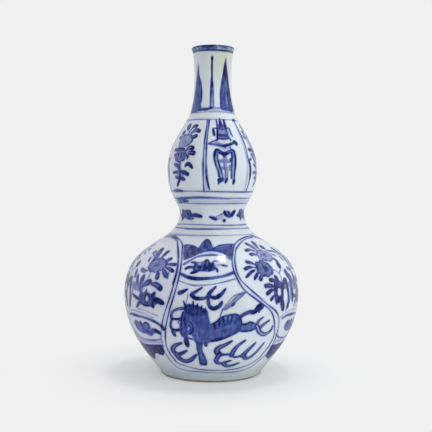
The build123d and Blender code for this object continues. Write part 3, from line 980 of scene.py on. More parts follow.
    snout: tuple[Mark, ...] = (
        wash((-24, 69), (-23.5, 74), (-17, 75.5), (-17, 69), ink=0.12),
        line((-17.5, 77.2), (-21.2, 76.2), (-24, 73.6), (-25, 70), (-24.6, 67.5), width=1.4, ink=0.9,
             core=0.62),
        line((-24.6, 67.8), (-22, 67.6), (-18.4, 68.2), width=1.1, ink=0.96),
        line((-24.8, 67), (-26, 62.5), (-25.6, 58.6), (-23, 57.4), (-19, 58.4), width=1.3, ink=0.93),
        dab((-25.4, 57), (-24, 51.8), width=1.9, ink=0.94),
        lift((-22.4, 71.6), (-18.6, 72.2), width=1.6, ink=0.08),
        lift((-23.3, 62.6), (-21, 62.6), width=2.1, ink=0.06),
        line((-19.4, 66.5), (-20.6, 65), (-19.4, 63), width=0.6, ink=0.86),
    )
    tail: tuple[Mark, ...] = (
        line((5.2, 69), (5.8, 73), (7, 77.5), width=0.6, ink=0.75),
        dab((7.2, 77), (12, 82), (16, 87), (20.5, 91), width=2.0, ink=0.42),
        line((7, 77.5), (10.5, 84), (14, 88.5), (18.5, 90.5), width=0.45, ink=0.66),
        line((7.5, 78), (12.5, 83.5), (16, 88), (20.5, 91), width=0.45, ink=0.7),
        line((7.8, 77), (13, 81.5), (17, 86), (20.8, 90.5), width=0.45, ink=0.76),
        line((8, 76.5), (12.5, 80), (15, 84), width=0.5, ink=0.7),
        dab((12.3, 80), (14.2, 82.8), width=1.4, ink=0.82),
        line((16.5, 68.5), (19.5, 71.8), (23.5, 74), (26.6, 73.8), (29, 76.2), width=2.0, ink=0.9),
        dab((28.4, 75.5), (30.5, 77.6), (33, 78.6), width=3.1, ink=0.96),
        dab((30.3, 76), (30.2, 73), width=1.1, ink=0.9),
        wash((19, 58), (19.5, 64), (23.5, 65), (28.5, 63), (29.5, 60), (27, 57.3), (22.5, 57), ink=0.68),
        line((18.8, 64), (22, 63), (24.5, 65), (28, 63.5), (30.5, 60.5), width=0.9, ink=0.92),
        line((18.5, 57.5), (22.5, 57), (27, 57.5), (29.5, 59.5), width=0.9, ink=0.9),
    )
    flames: tuple[Mark, ...] = (
        flame((-9.7, 86.5), (-12, 89), (-9.3, 91.8), (-5.7, 95.2), width=1.9),
        line((-11.5, 88.5), (-9.7, 86.4), (-6.2, 86), (-3, 87), (-1.4, 89), width=1.6, ink=0.92),
        flame((-2, 87.5), (-0.7, 91.3), (2.7, 96), width=2.0),
        line((-1.4, 88.5), (0.6, 87.2), (2.6, 87), (4.5, 88.3), width=1.6, ink=0.92),
        flame((3.5, 87.3), (6, 90), (8.6, 94.2), width=2.1),
        line((-1.6, 88), (-1.8, 84), (-1, 79.8), (1.2, 77.8), (3.8, 79), width=1.6, ink=0.9),
        dab((2.5, 78), (4.8, 80), (6.5, 83.6), width=1.7, ink=0.95),
        flame((-19.8, 90), (-17.4, 91.4), (-14.7, 93.5), width=2.1),
        flame((29.6, 62), (31, 66), (34, 68.5), width=1.7, ink=0.9, core=0.6),
        flame((32.6, 59.5), (36, 62.6), (39.4, 65), width=1.8, ink=0.88, core=0.5),
        flame((30, 61), (33, 55), (36.5, 52.3), (40, 52.8), (42.7, 55.6), (43.2, 59), width=2.6, ink=0.88,
              core=0.36),
        flame((-25.8, 32), (-28.4, 34.5), (-28.2, 38), (-25.4, 41.9), (-20.4, 45), width=2.9, core=0.6),
        flame((-26, 31.5), (-22, 33.6), (-17.5, 37.2), width=2.4),
        flame((-26.8, 33), (-25.5, 27.5), (-21.5, 24.4), (-17, 25.6), (-14, 28.6), (-10.8, 33), width=3.3,
              core=0.8),
        flame((6.5, 33), (4.2, 37.2), (5.2, 41), (9.5, 44.1), (13.7, 47.8), width=3.1, core=0.6),
        line((5.5, 34.5), (9, 33.4), (13, 33.6), (15.8, 32.8), width=1.6, ink=0.88),
        flame((15.3, 32), (16.5, 38), (19, 43), (23.3, 47.8), width=2.7, core=0.66),
        line((15.3, 32.8), (17, 30.6), (20, 30), (24, 31.5), width=1.5, ink=0.84),
        flame((24.4, 30.8), (27, 35.8), (29.6, 40.2), (32, 44), width=2.8, core=0.66),
        flame((24.6, 32), (28.7, 27.2), (33, 29), (36.6, 34.6), (38.4, 39.2), (40, 43), width=2.3, ink=0.82,
              core=0.62),
        flame((6.3, 34), (4.7, 29.5), (4.2, 25.6), (7, 22.8), (11.3, 24.2), (15.8, 26), width=2.5,
              core=0.7),
        flame((10, 23.3), (12.3, 19.9), (16.5, 19.2), (20.8, 20.8), (23.8, 22.2), width=2.4, ink=0.84,
              core=0.62),
    )

    def paint(self, canvas: Canvas) -> None:
        """Paint the whole panel, its borders last."""
        canvas.paint(self.bracket + self.sprig + self.snout + self.beast, self.repeats)
        canvas.paint(self.tail + self.flames + self.border, self.repeats)


@dataclass(frozen=True)
class FlowerPanel:
    """Panel between two beasts: flowers over a rock, above a small sprig and a hanging bracket."""

    repeats: int = 3
    pale_turns: tuple[float, ...] = (0.0, 120.0, 232.0)
    pale_flower: tuple[Mark, ...] = (
        wash((37.5, 128), (37.5, 132), (41, 135), (46, 137), (50, 135), (50, 130), (42, 127), ink=0.26),
        *bloom((46.8, 124.6), across=8.2, up=6.8, ink=0.42, rim=0.74),
        line((41, 123), (44, 126), (46, 124.5), (48.5, 127), (51.5, 124.5), width=0.6, ink=0.76),
        dab((46.4, 126.6), (48.6, 126), width=1.4, ink=0.74),
        dab((41.5, 130.2), (45.5, 131.4), width=1.0, ink=0.72),
        petal((40, 130.6), (35.2, 133.3), (31.2, 132), width=1.8, ink=0.92, core=0.64),
        petal((38.6, 125.6), (35.2, 127.3), (33.2, 126.7), width=1.9, ink=0.94, core=0.7),
        petal((43, 132.4), (40.7, 138), (38.3, 141.5), width=2.2, ink=0.9, core=0.5),
        petal((46.7, 133.6), (48, 139.5), (49.2, 143), width=2.3, ink=0.88, core=0.5),
        dab((54.2, 133.4), (54.7, 136.8), width=2.8, ink=0.92),
        petal((54.7, 130.3), (60.7, 129), width=1.9, ink=0.66, core=0.42),
        dab((57.2, 125.3), (61.2, 122.6), width=1.4, ink=0.7),
        petal((53.2, 121.3), (56.2, 116.8), width=2.1, ink=0.82, core=0.55),
    )
    dark_flower: tuple[Mark, ...] = (
        *bloom((38.6, 110.6), across=7, up=7.2, ink=0.68, rim=0.95),
        dab((38.2, 112.6), (39.6, 110.6), (39.2, 108.4), width=2.2, ink=0.92),
        dab((33.2, 108.6), (32.8, 112), (34, 115.4), width=1.3, ink=0.95),
        dab((42.4, 104.8), (44.4, 106.6), (44.6, 109), width=1.3, ink=0.95),
        dab((36, 105.2), (39, 104.4), width=1.2, ink=0.92),
        lift((35.8, 112.8), (37.2, 115), width=1.1, ink=0.56),
        lift((41.8, 107.2), (42.8, 108.8), width=0.9, ink=0.54),
        lift((41.8, 112), (42.8, 113.6), width=1.0, ink=0.54),
        line((36.5, 117.5), (38.5, 119.5), (40.5, 118.5), (42, 121), (44.2, 119), width=0.8, ink=0.92),
        line((32.2, 115), (34, 117.5), (36.8, 117.2), width=0.8, ink=0.9),
        petal((31.5, 115.4), (29, 117.4), (26.2, 118.3), width=1.8, ink=0.97, core=0.76),
        line((33, 110.8), (30, 112.4), width=0.6, ink=0.82),
        petal((29.5, 112.7), (26.5, 112.9), (23.2, 111.3), width=1.7, ink=0.97, core=0.8),
        dab((30.2, 109.8), (26.8, 108), (22.3, 103.4), width=1.5, ink=0.94),
        dab((32, 107.2), (30, 104.6), (28, 101.2), width=1.6, ink=0.95),
        petal((34.6, 105), (32.7, 101.4), width=2.0, ink=0.93, core=0.74),
        dab((54.6, 110.8), (55.6, 114.4), width=3.0, ink=0.95),
        line((54.8, 111), (53.7, 107.6), (51.3, 105.3), (51.5, 100.3), (51.2, 95.3), width=0.6, ink=0.7),
        line((46.2, 109.3), (48.7, 107.3), (51, 104.8), width=0.5, ink=0.62),
        dab((45.8, 109.2), (46.4, 108.8), width=1.0, ink=0.82),
    )
    side_flower: tuple[Mark, ...] = (
        *bloom((78.4, 113.2), across=7.8, up=7.2, ink=0.54, rim=0.86),
        dab((78, 112.6), (79.2, 114.2), width=1.8, ink=0.78),
        dab((76, 120.2), (78, 120.6), width=1.1, ink=0.87),
        dab((80, 120), (81.6, 119.4), width=1.0, ink=0.87),
        lift((75, 115.5), (76.5, 117), width=1.0, ink=0.45),
        lift((81.5, 110.5), (83, 112), width=1.0, ink=0.45),
        lift((76, 109.5), (77.5, 110.3), width=0.8, ink=0.45),
        petal((71.5, 121.5), (68.5, 125), (64.7, 128.3), width=2.4, ink=0.66, core=0.36),
        petal((74, 120.8), (72.5, 126), (70.7, 131.8), width=2.6, ink=0.94, core=0.72),
        petal((78.3, 120.6), (80.2, 128.8), width=2.1, ink=0.96, core=0.76),
        petal((84, 115.6), (87.3, 120), width=2.0, ink=0.96, core=0.74),
        petal((86, 113.8), (90, 114.3), (93.3, 114.2), width=1.7, ink=0.97, core=0.6),
        petal((86, 111.2), (90, 109.8), (93.3, 107.9), width=1.7, ink=0.97, core=0.6),
        petal((85, 109.4), (89.6, 103.3), width=2.4, ink=0.82, core=0.6),
        dab((71.2, 116.4), (73, 119.4), width=1.4, ink=0.9),
        dab((85.9, 116.4), (86.3, 112.4), width=1.2, ink=0.93),
        dab((73.5, 107.8), (75.5, 107), width=1.0, ink=0.82),
        line((90.6, 106.5), (91.4, 101), width=0.7, ink=0.87),
        petal((82, 107), (82.6, 104), (83, 101.4), width=2.4, ink=0.92, core=0.74),
        petal((72, 107.6), (69, 106.8), (65, 108.3), width=1.9, ink=0.74, core=0.5),
        petal((67.7, 115.8), (66.2, 120.3), width=1.6, ink=0.74),
        petal((71.3, 116.5), (71.7, 121), width=1.6, ink=0.8),
        line((76, 105), (75.3, 99), width=0.9, ink=0.38),
    )
    rock: tuple[Mark, ...] = (
        wash((42.2, 92.3), (43.2, 97.3), (45.7, 100.3), (48.7, 98.3), (51.2, 93.8), (51.5, 87.3),
             (51.2, 80.3), (51.5, 73.3), (49.2, 72.8), (48.2, 79.3), (46.2, 79.3), (44, 78.6), (42.5, 84.3),
             ink=0.98),
        wash((46.2, 102), (49, 98.5), (52.5, 95.5), (53.6, 92), (51, 90), (47, 93.5), ink=1.0),
        dab((49, 83), (50.2, 77.5), (51.4, 72.6), width=3.0, ink=1.0),
        dab((45.7, 102.9), (47.2, 97.8), width=2.3, ink=1.0),
        petal((45.2, 96.8), (43.2, 99.3), (40.5, 100), width=1.9, ink=0.97, core=0.84),
        petal((43, 93.9), (39.5, 95.2), (36, 95.2), width=2.1, ink=0.95, core=0.8),
        petal((43, 91.3), (40, 91), (36.7, 88.7), width=1.9, ink=0.98, core=0.86),
        petal((42.5, 86.8), (39.6, 83.3), width=1.6, ink=0.97),
        lift((48, 94.5), (48.3, 97.5), width=1.2, ink=0.82),
        lift((47.2, 86.6), (47.3, 91), width=2.4, ink=0.03),
        lift((43.9, 84.3), (43.7, 90.3), width=0.4, ink=0.74),
        line((51.4, 92.3), (53.2, 96.3), (55.7, 98.3), (56.4, 93.3), (57.2, 86.3), (57.2, 80.3),
             (56.3, 74.8), width=2.0, ink=0.98),
        lift((54, 77.5), (54.1, 83), (53.9, 90), width=1.3, ink=0.15),
        dab((58.7, 107.3), (60.4, 100.3), width=2.0, ink=0.9),
        line((54, 99.8), (53.5, 96.3), width=0.8, ink=0.52),
    )
    side_rock: tuple[Mark, ...] = (
        dab((63.1, 102.8), (65.5, 95.3), width=2.2, ink=0.84),
        wash((60, 90.5), (60.5, 95.5), (66, 97), (72, 94.5), (73, 90), (68, 88.5), ink=0.5),
        dab((70.4, 102.6), (69.4, 95.6), width=2.8, ink=0.9),
        dab((69.4, 97), (69.6, 90.5), width=1.4, ink=0.82),
        petal((71, 92.6), (74.7, 95.8), (78, 97.3), width=2.6, ink=0.93, core=0.66),
        petal((79.2, 95.6), (83.7, 94.9), (87.4, 92.1), width=2.7, ink=0.93, core=0.62),
        dab((52.7, 91.3), (60.2, 94.3), (66.7, 92.3), width=1.9, ink=0.5),
        line((60.7, 90.3), (60.2, 85.3), (58.2, 78.3), (54.7, 71.3), width=1.1, ink=0.48),
        dab((61.8, 85), (66, 83.2), (70, 81.4), width=1.6, ink=0.98),
        line((66.2, 95.3), (68.7, 91.8), (71.2, 87.8), width=1.6, ink=0.78),
        wash((70, 85.6), (71.6, 88.8), (74, 88), (76, 89.4), (79.5, 87.4), (83.6, 86.6), (85.2, 82),
             (85.6, 79), (83, 76.4), (79, 77), (76, 75.6), (72.6, 76.8), (70.2, 78.4), (70.4, 81),
             (69, 83.4), ink=0.8),
        dab((81.2, 86.3), (82.7, 81.8), (81.2, 77.8), width=1.6, ink=0.97),
        line((70.7, 79.3), (74.7, 77.1), (80.7, 76.8), width=0.9, ink=0.92),
        line((69.9, 86.3), (69.4, 82.3), (70.7, 79.3), width=0.7, ink=0.87),
        dab((76.2, 90.3), (76, 87.5), width=1.4, ink=0.9),
        dab((81.2, 84.8), (83.9, 88.1), width=1.9, ink=0.98),
        dab((82.6, 82.6), (86.5, 81.4), (90.4, 79.5), width=2.7, ink=1.0),
        dab((82.4, 77.8), (82.2, 75.6), width=1.8, ink=0.95),
        dab((70.4, 79.6), (68, 77), (66.2, 74.3), width=1.7, ink=0.84),
        line((74.7, 82.8), (77.3, 86.8), (79.9, 82.8), (77.3, 78.8), (74.7, 82.8), width=0.8, ink=0.97),
        lift((77.3, 81.2), (77.3, 84.4), width=1.7, ink=0.05),
        line((66.7, 73.3), (74.7, 72.3), (80.7, 69.8), (85.2, 68.3), width=0.5, ink=0.35),
    )
    far_stalks: tuple[Mark, ...] = (
        line((60.3, 106), (61.8, 98), (63, 90), (63, 80), width=2.1, ink=0.92),
        line((70, 104), (73, 95), (74, 85), (72.5, 76), width=2.2, ink=0.7),
    )
    hanging_sprig: tuple[Mark, ...] = (
        line((52, 65), (57, 66.6), (64, 66.6), (73, 65.8), (78.3, 64.2), (82.3, 62.4), (86, 59.8),
             width=1.25, ink=0.76),
        line((49, 66), (56, 69.8), (64, 70.8), (73, 69.5), (81, 66), width=0.6, ink=0.3),
        dab((86, 59.4), (87.2, 57.8), (87.6, 56), width=2.2, ink=0.98),
        wash((57, 57.5), (59, 61), (62, 62), (65, 60.8), (67.2, 62.6), (69.4, 60.2), (71.6, 61.6),
             (74, 61.8), (76.2, 59.6), (76.4, 56.4), (79, 56.6), (82, 56), (84.2, 53.6), (84.4, 51.4),
             (81, 51.8), (78, 51), (75.5, 48.8), (72.5, 48.4), (69, 50), (65, 50.2), (61.5, 51.4),
             (58.5, 53.8), ink=0.68, streaks=0.1),
        dab((59, 60), (62, 58.6), (63.6, 56), width=1.6, ink=0.74),
        dab((66.6, 61.4), (67.6, 58.5), (68.6, 55.4), width=1.5, ink=0.82),
        line((71, 60.4), (73.6, 61.2), (75.6, 59.4), (75.8, 56.8), (74, 55.6), width=0.8, ink=0.84),
        dab((68.6, 53.8), (73, 52.4), (77, 52.4), width=2.0, ink=0.82),
        dab((79.6, 54.4), (82, 53.4), (84, 51.8), width=2.1, ink=0.99),
        lift((72.4, 59.8), (72.8, 57.2), width=1.1, ink=0.45),
        lift((64.8, 57), (65.2, 53.8), width=0.8, ink=0.46),
        lift((62.2, 53.6), (64, 52.6), width=0.7, ink=0.48),
        wash((52, 40.8), (54, 43.6), (66, 42.6), (76, 43.4), (84, 44.6), (83.6, 42), (70, 40.6), (58, 40),
             ink=0.26),
        line((49.8, 50), (55, 46), (61, 44.2), (68, 43.6), (74.1, 44), (79.6, 45), (83.4, 46.2), width=0.9,
             ink=0.56),
    )
    hanging_bracket: tuple[Mark, ...] = (
        wash((50.5, 38.5), (58, 38), (66, 38.5), (75, 39.5), (83.3, 40.3), (82.8, 35.7), (80.6, 28.6),
             (77, 27.9), (72.3, 29.3), (69.4, 27.9), (65.2, 22.9), (60.4, 20), (57, 21.5), (54, 24),
             (51, 25.5), (50.3, 31), ink=0.94, streaks=0.05),
        dab((80.9, 38), (81, 34), (79, 30), width=2.4, ink=1.0),
        dab((74.5, 36.5), (76.5, 32.5), (78, 30), width=2.2, ink=0.97),
    )

    def paint(self, canvas: Canvas) -> None:
        """Paint the whole panel."""
        for turn in self.pale_turns:
            canvas.paint(turned(self.pale_flower, turn), 1)
        canvas.paint(self.dark_flower + self.side_flower, self.repeats)
        canvas.paint(self.side_rock + self.rock + self.hanging_sprig + self.hanging_bracket, self.repeats)
        canvas.paint(self.far_stalks, 1)


@dataclass(frozen=True)
class PaintedGlaze:
    """Underglaze cobalt on porcelain: a cool white ground and blues that pool darker where the brush was wet.

    The thick limy glaze over the paint is glassy and slightly wavy, with a few iron specks. A yellowish stain
    on the neck's front right also stands in for the warm tint of a soft window reflection there, and the left
    side is tinted lavender as painted shade. Sizes, heights, reaches and places are in millimetres, and
    colours are sRGB hex.
    """

    ground: str = "D9E4ED"
    blues: tuple[tuple[float, str], ...] = (
        (0.16, "BFC8DC"), (0.36, "93A0CA"), (0.56, "6676B4"),
        (0.78, "3C4F98"), (0.88, "2A3B80"), (1.0, "0D1856"),
    )
    tones: tuple[tuple[float, str], ...] = (
        (0.0, "DCE8E2"), (16.0, "FFFFFF"), (245.0, "FFFFFF"), (272.0, "FAFAF6"), (298.0, "F4F3EA"),
    )
    # Painted shade: a lavender tint over the left side, fading in from the middle to 75 mm left of the axis.
    left_shade_tint: str = "FBF3FF"
    left_shade_reach: tuple[float, float] = (0.0, -75.0)
    warm_cloud: str = "F8F7EF"
    # A yellowish stain on the neck's front right that is also a painted reflection: the warm tint of a soft
    # window's reflection there.
    stain_and_sheen: str = "E0D2A8"
    speck: str = "6B5648"
    roughness: float = 0.1
    ior: float = 1.5
    pooling_size: float = 5.0
    pooling_detail: float = 2.0
    pooling_roughness: float = 0.5
    pooling_span: tuple[float, float] = (0.3, 0.7)
    pooling_ink: tuple[float, float] = (0.86, 1.1)
    cloud_size: float = 22.0
    cloud_detail: float = 4.0
    cloud_roughness: float = 0.6
    cloud_span: tuple[float, float] = (0.42, 0.68)
    ripple_size: float = 7.0
    ripple_detail: float = 2.0
    ripple_height: float = 0.05
    speck_spacing: float = 11.0
    speck_span: tuple[float, float] = (0.02, 0.045)
    speck_strength: float = 0.55
    stain_and_sheen_place: tuple[float, float, float] = (11.0, -15.0, 288.0)
    stain_and_sheen_reach: float = 22.0
    stain_and_sheen_strength: float = 0.5

    def material(self) -> bpy.types.Material:
        """Build the finish as a material."""
        material = bpy.data.materials.new("underglaze_cobalt_porcelain")
        material.use_nodes = True
        tree = material.node_tree
        shader = tree.nodes["Principled BSDF"]
        place = add_node(tree, "ShaderNodeTexCoord").outputs["Object"]
        cobalt = add_node(tree, "ShaderNodeAttribute", attribute_name="cobalt").outputs["Fac"]
        pooling = add_node(tree, "ShaderNodeTexNoise", {
            "Vector": place, "Scale": per_metre(self.pooling_size), "Detail": self.pooling_detail,
            "Roughness": self.pooling_roughness})
        low, high = self.pooling_span
        least, most = self.pooling_ink
        uneven = add_node(tree, "ShaderNodeMapRange", {
            "Value": pooling.outputs["Fac"], "From Min": low, "From Max": high,
            "To Min": least, "To Max": most})
        ink = add_node(tree, "ShaderNodeMath", {0: cobalt, 1: uneven.outputs["Result"]}, operation="MULTIPLY")
        blues = add_node(tree, "ShaderNodeValToRGB", {"Fac": ink.outputs["Value"]})
        axes = add_node(tree, "ShaderNodeSeparateXYZ", {"Vector": place})
        top = self.tones[-1][0]
        height = add_node(tree, "ShaderNodeMath", {0: axes.outputs["Z"], 1: top * MM}, operation="DIVIDE")
        tones = add_node(tree, "ShaderNodeValToRGB", {"Fac": height.outputs["Value"]})
        levels = tuple((level / top, colour) for level, colour in self.tones)
        for ramp, stops in ((blues, ((0.0, self.ground), *self.blues)), (tones, levels)):
            elements = ramp.color_ramp.elements
            elements[0].position, elements[0].color = stops[0][0], linear(stops[0][1])
            elements[1].position, elements[1].color = stops[-1][0], linear(stops[-1][1])
            for position, colour in stops[1:-1]:
                elements.new(position).color = linear(colour)
        toned = add_node(tree, "ShaderNodeMix", {
            "Factor": 1.0, "A": blues.outputs["Color"], "B": tones.outputs["Color"]},
            data_type="RGBA", blend_type="MULTIPLY")
        # Painted shade: tint the left side lavender, as the dimmer light there makes it look.
        near, far = (edge * MM for edge in self.left_shade_reach)
        left_shade_share = add_node(tree, "ShaderNodeMapRange", {
            "Value": axes.outputs["X"], "From Min": near, "From Max": far})
        left_shaded = add_node(tree, "ShaderNodeMix", {
            "Factor": left_shade_share.outputs["Result"], "A": toned.outputs["Result"], "B": linear(self.left_shade_tint)},
            data_type="RGBA", blend_type="MULTIPLY")
        clouds = add_node(tree, "ShaderNodeTexNoise", {
            "Vector": place, "Scale": per_metre(self.cloud_size), "Detail": self.cloud_detail,
            "Roughness": self.cloud_roughness})
        low, high = self.cloud_span
        cloudy = add_node(tree, "ShaderNodeMapRange", {
            "Value": clouds.outputs["Fac"], "From Min": low, "From Max": high})
        clouded = add_node(tree, "ShaderNodeMix", {
            "Factor": cloudy.outputs["Result"], "A": left_shaded.outputs["Result"], "B": linear(self.warm_cloud)},
            data_type="RGBA", blend_type="MULTIPLY")
        # Stain and painted reflection: a warm yellowish patch on the neck's front right, standing in for a
        # soft window's reflection as well as a stain.
        centre = tuple(value * MM for value in self.stain_and_sheen_place)
        away = add_node(tree, "ShaderNodeVectorMath", {0: place, 1: centre}, operation="DISTANCE")
        stain_and_sheen_share = add_node(tree, "ShaderNodeMapRange", {
            "Value": away.outputs["Value"], "From Min": 0.0, "From Max": self.stain_and_sheen_reach * MM,
            "To Min": self.stain_and_sheen_strength, "To Max": 0.0})
        warm = add_node(tree, "ShaderNodeMix", {
            "Factor": stain_and_sheen_share.outputs["Result"], "A": clouded.outputs["Result"], "B": linear(self.stain_and_sheen)},
            data_type="RGBA", blend_type="MULTIPLY")
        cells = add_node(tree, "ShaderNodeTexVoronoi", {
            "Vector": place, "Scale": per_metre(self.speck_spacing)})
        low, high = self.speck_span
        fleck = add_node(tree, "ShaderNodeMapRange", {
            "Value": cells.outputs["Distance"], "From Min": low, "From Max": high,
            "To Min": self.speck_strength, "To Max": 0.0})
        colour = add_node(tree, "ShaderNodeMix", {
            "Factor": fleck.outputs["Result"], "A": warm.outputs["Result"], "B": linear(self.speck)},
            data_type="RGBA")
        ripple = add_node(tree, "ShaderNodeTexNoise", {
            "Vector": place, "Scale": per_metre(self.ripple_size), "Detail": self.ripple_detail})
        bump = add_node(tree, "ShaderNodeBump", {
            "Height": ripple.outputs["Fac"], "Strength": 1.0, "Distance": self.ripple_height * MM})
        tree.links.new(colour.outputs["Result"], shader.inputs["Base Color"])
        tree.links.new(bump.outputs["Normal"], shader.inputs["Normal"])
        shader.inputs["Roughness"].default_value = self.roughness
        shader.inputs["IOR"].default_value = self.ior
        return material


@dataclass(frozen=True)
class PlainGlaze:
    """Clear glaze on unpainted porcelain: cool white with soft clouds, wet-looking.

    Sizes and heights are in millimetres, and colours are sRGB hex.
    """

    name: str
    ground: str
    cloud: str
    roughness: float = 0.2
    cloud_size: float = 18.0
    cloud_detail: float = 5.0
    cloud_roughness: float = 0.6
    ripple_size: float = 6.0
    ripple_detail: float = 2.0
    ripple_height: float = 0.05

    def material(self) -> bpy.types.Material:
        """Build the finish as a material."""
        material = bpy.data.materials.new(self.name)
        material.use_nodes = True
        tree = material.node_tree
        shader = tree.nodes["Principled BSDF"]
        place = add_node(tree, "ShaderNodeTexCoord").outputs["Object"]
        clouds = add_node(tree, "ShaderNodeTexNoise", {
            "Vector": place, "Scale": per_metre(self.cloud_size), "Detail": self.cloud_detail,
            "Roughness": self.cloud_roughness})
        colour = add_node(tree, "ShaderNodeMix", {
            "Factor": clouds.outputs["Fac"], "A": linear(self.ground), "B": linear(self.cloud)},
            data_type="RGBA")
        ripple = add_node(tree, "ShaderNodeTexNoise", {
            "Vector": place, "Scale": per_metre(self.ripple_size), "Detail": self.ripple_detail})
        bump = add_node(tree, "ShaderNodeBump", {
            "Height": ripple.outputs["Fac"], "Strength": 1.0, "Distance": self.ripple_height * MM})
        tree.links.new(colour.outputs["Result"], shader.inputs["Base Color"])
        tree.links.new(bump.outputs["Normal"], shader.inputs["Normal"])
        shader.inputs["Roughness"].default_value = self.roughness
        return material


@dataclass(frozen=True)
class BareClay:
    """Unglazed porcelain: dry and chalky, sandy to the touch, with burnt brownish patches.

    Sizes and heights are in millimetres, and colours are sRGB hex.
    """

    name: str
    clay: str
    burnt: str
    roughness: float = 0.75
    grit_size: float = 0.9
    grit_detail: float = 3.0
    grit_height: float = 0.12
    burn_size: float = 9.0
    burn_detail: float = 5.0
    burn_roughness: float = 0.7
    burn_span: tuple[float, float] = (0.4, 0.65)
    burn_share: tuple[float, float] = (0.1, 0.8)

    def material(self) -> bpy.types.Material:
        """Build the finish as a material."""
        material = bpy.data.materials.new(self.name)
        material.use_nodes = True
        tree = material.node_tree
        shader = tree.nodes["Principled BSDF"]
        place = add_node(tree, "ShaderNodeTexCoord").outputs["Object"]
        burn = add_node(tree, "ShaderNodeTexNoise", {
            "Vector": place, "Scale": per_metre(self.burn_size), "Detail": self.burn_detail,
            "Roughness": self.burn_roughness})
        low, high = self.burn_span
        least, most = self.burn_share
        patchy = add_node(tree, "ShaderNodeMapRange", {
            "Value": burn.outputs["Fac"], "From Min": low, "From Max": high, "To Min": least, "To Max": most})
        colour = add_node(tree, "ShaderNodeMix", {
            "Factor": patchy.outputs["Result"], "A": linear(self.clay), "B": linear(self.burnt)},
            data_type="RGBA")
        grit = add_node(tree, "ShaderNodeTexNoise", {
            "Vector": place, "Scale": per_metre(self.grit_size), "Detail": self.grit_detail})
        bump = add_node(tree, "ShaderNodeBump", {
            "Height": grit.outputs["Fac"], "Strength": 1.0, "Distance": self.grit_height * MM})
        tree.links.new(colour.outputs["Result"], shader.inputs["Base Color"])
        tree.links.new(bump.outputs["Normal"], shader.inputs["Normal"])
        shader.inputs["Roughness"].default_value = self.roughness
        return material


@dataclass(frozen=True)
class GlazeBand:
    """One stretch of the outer glaze, closed all round as a thin coat.

    Attributes:
        name: of the piece.
        start: millimetres up the wall.
        finish: the same for its upper end.
        columns: steps round the vase, a multiple of the sectors.
        sectors: equal parts of the turn. One is spun finely and then repeated.
        merge_reach: how close the sectors' edges lie where they meet, mm.
        back_depth: how far inside the outer face a point counts as the back, mm.
    """

    name: str
    start: float
    finish: float
    columns: int
    sectors: int = 20
    merge_reach: float = 0.01
    back_depth: float = 0.05

    def mesh(
        self, wall: Wall, canvas: Canvas, thickness: float, row_pitch: float, back_pitch: float
    ) -> bpy.types.Mesh:
        """Spin the coat's section round the vase's axis and paint it.

        Args:
            wall: the outside that the coat follows.
            canvas: the painting.
            thickness: of the coat, mm.
            row_pitch: spacing of the rows that carry the painting, mm.
            back_pitch: spacing of the rows against the clay, mm.

        Returns:
            The finished mesh, with the strength of the cobalt in its "cobalt" attribute.
        """
        reach = self.finish - self.start
        front = np.linspace(self.start, self.finish, math.ceil(reach / row_pitch) + 1)
        back = np.linspace(self.finish, self.start, math.ceil(reach / back_pitch) + 1)
        section = np.concatenate((wall.at(front), wall.at(back) - thickness * wall.facing(back))) * MM
        bm = bmesh.new()
        climb_layer = bm.verts.layers.float.new("climb")
        corners = []
        for (radius, height), climb in zip(section, np.concatenate((front, back))):
            corner = bm.verts.new((0, radius, height))
            corner[climb_layer] = climb
            corners.append(corner)
        edges = [bm.edges.new(pair) for pair in zip(corners, corners[1:] + corners[:1])]
        sector = 2 * math.pi / self.sectors
        bmesh.ops.spin(bm, geom=corners + edges, cent=(0, 0, 0), axis=(0, 0, 1), angle=sector,
                       steps=self.columns // self.sectors)
        bmesh.ops.spin(bm, geom=[*bm.verts, *bm.edges, *bm.faces], cent=(0, 0, 0), axis=(0, 0, 1),
                       angle=2 * math.pi - sector, steps=self.sectors - 1, use_duplicate=True)
        bmesh.ops.remove_doubles(bm, verts=bm.verts, dist=self.merge_reach * MM)
        bmesh.ops.recalc_face_normals(bm, faces=bm.faces)
        mesh = bpy.data.meshes.new(self.name)
        bm.to_mesh(mesh)
        bm.free()
        self._paint(mesh, wall, canvas)
        return mesh

    def _paint(self, mesh: bpy.types.Mesh, wall: Wall, canvas: Canvas) -> None:
        """Carry the painting and the wall's true facing to the mesh."""
        count = len(mesh.vertices)
        places = np.empty(count * 3, np.float32)
        mesh.vertices.foreach_get("co", places)
        x, y, _ = places.reshape(-1, 3).T.astype(float)
        climb = np.empty(count, np.float32)
        mesh.attributes["climb"].data.foreach_get("value", climb)
        mesh.attributes.remove(mesh.attributes["climb"])
        turn = np.arctan2(x, -y)
        cobalt = mesh.attributes.new("cobalt", "FLOAT", "POINT")
        cobalt.data.foreach_set("value", canvas.sample(np.degrees(turn), climb).astype(np.float32))
        mesh.polygons.foreach_set("use_smooth", np.ones(len(mesh.polygons), bool))
        out, up = wall.facing(climb).T
        back = np.hypot(x, y) < (wall.at(climb)[:, 0] - self.back_depth) * MM
        side = np.where(back, -1.0, 1.0)
        normals = np.stack((out * np.sin(turn), -out * np.cos(turn), up), axis=1) * side[:, None]
        mesh.normals_split_custom_set_from_vertices(normals)


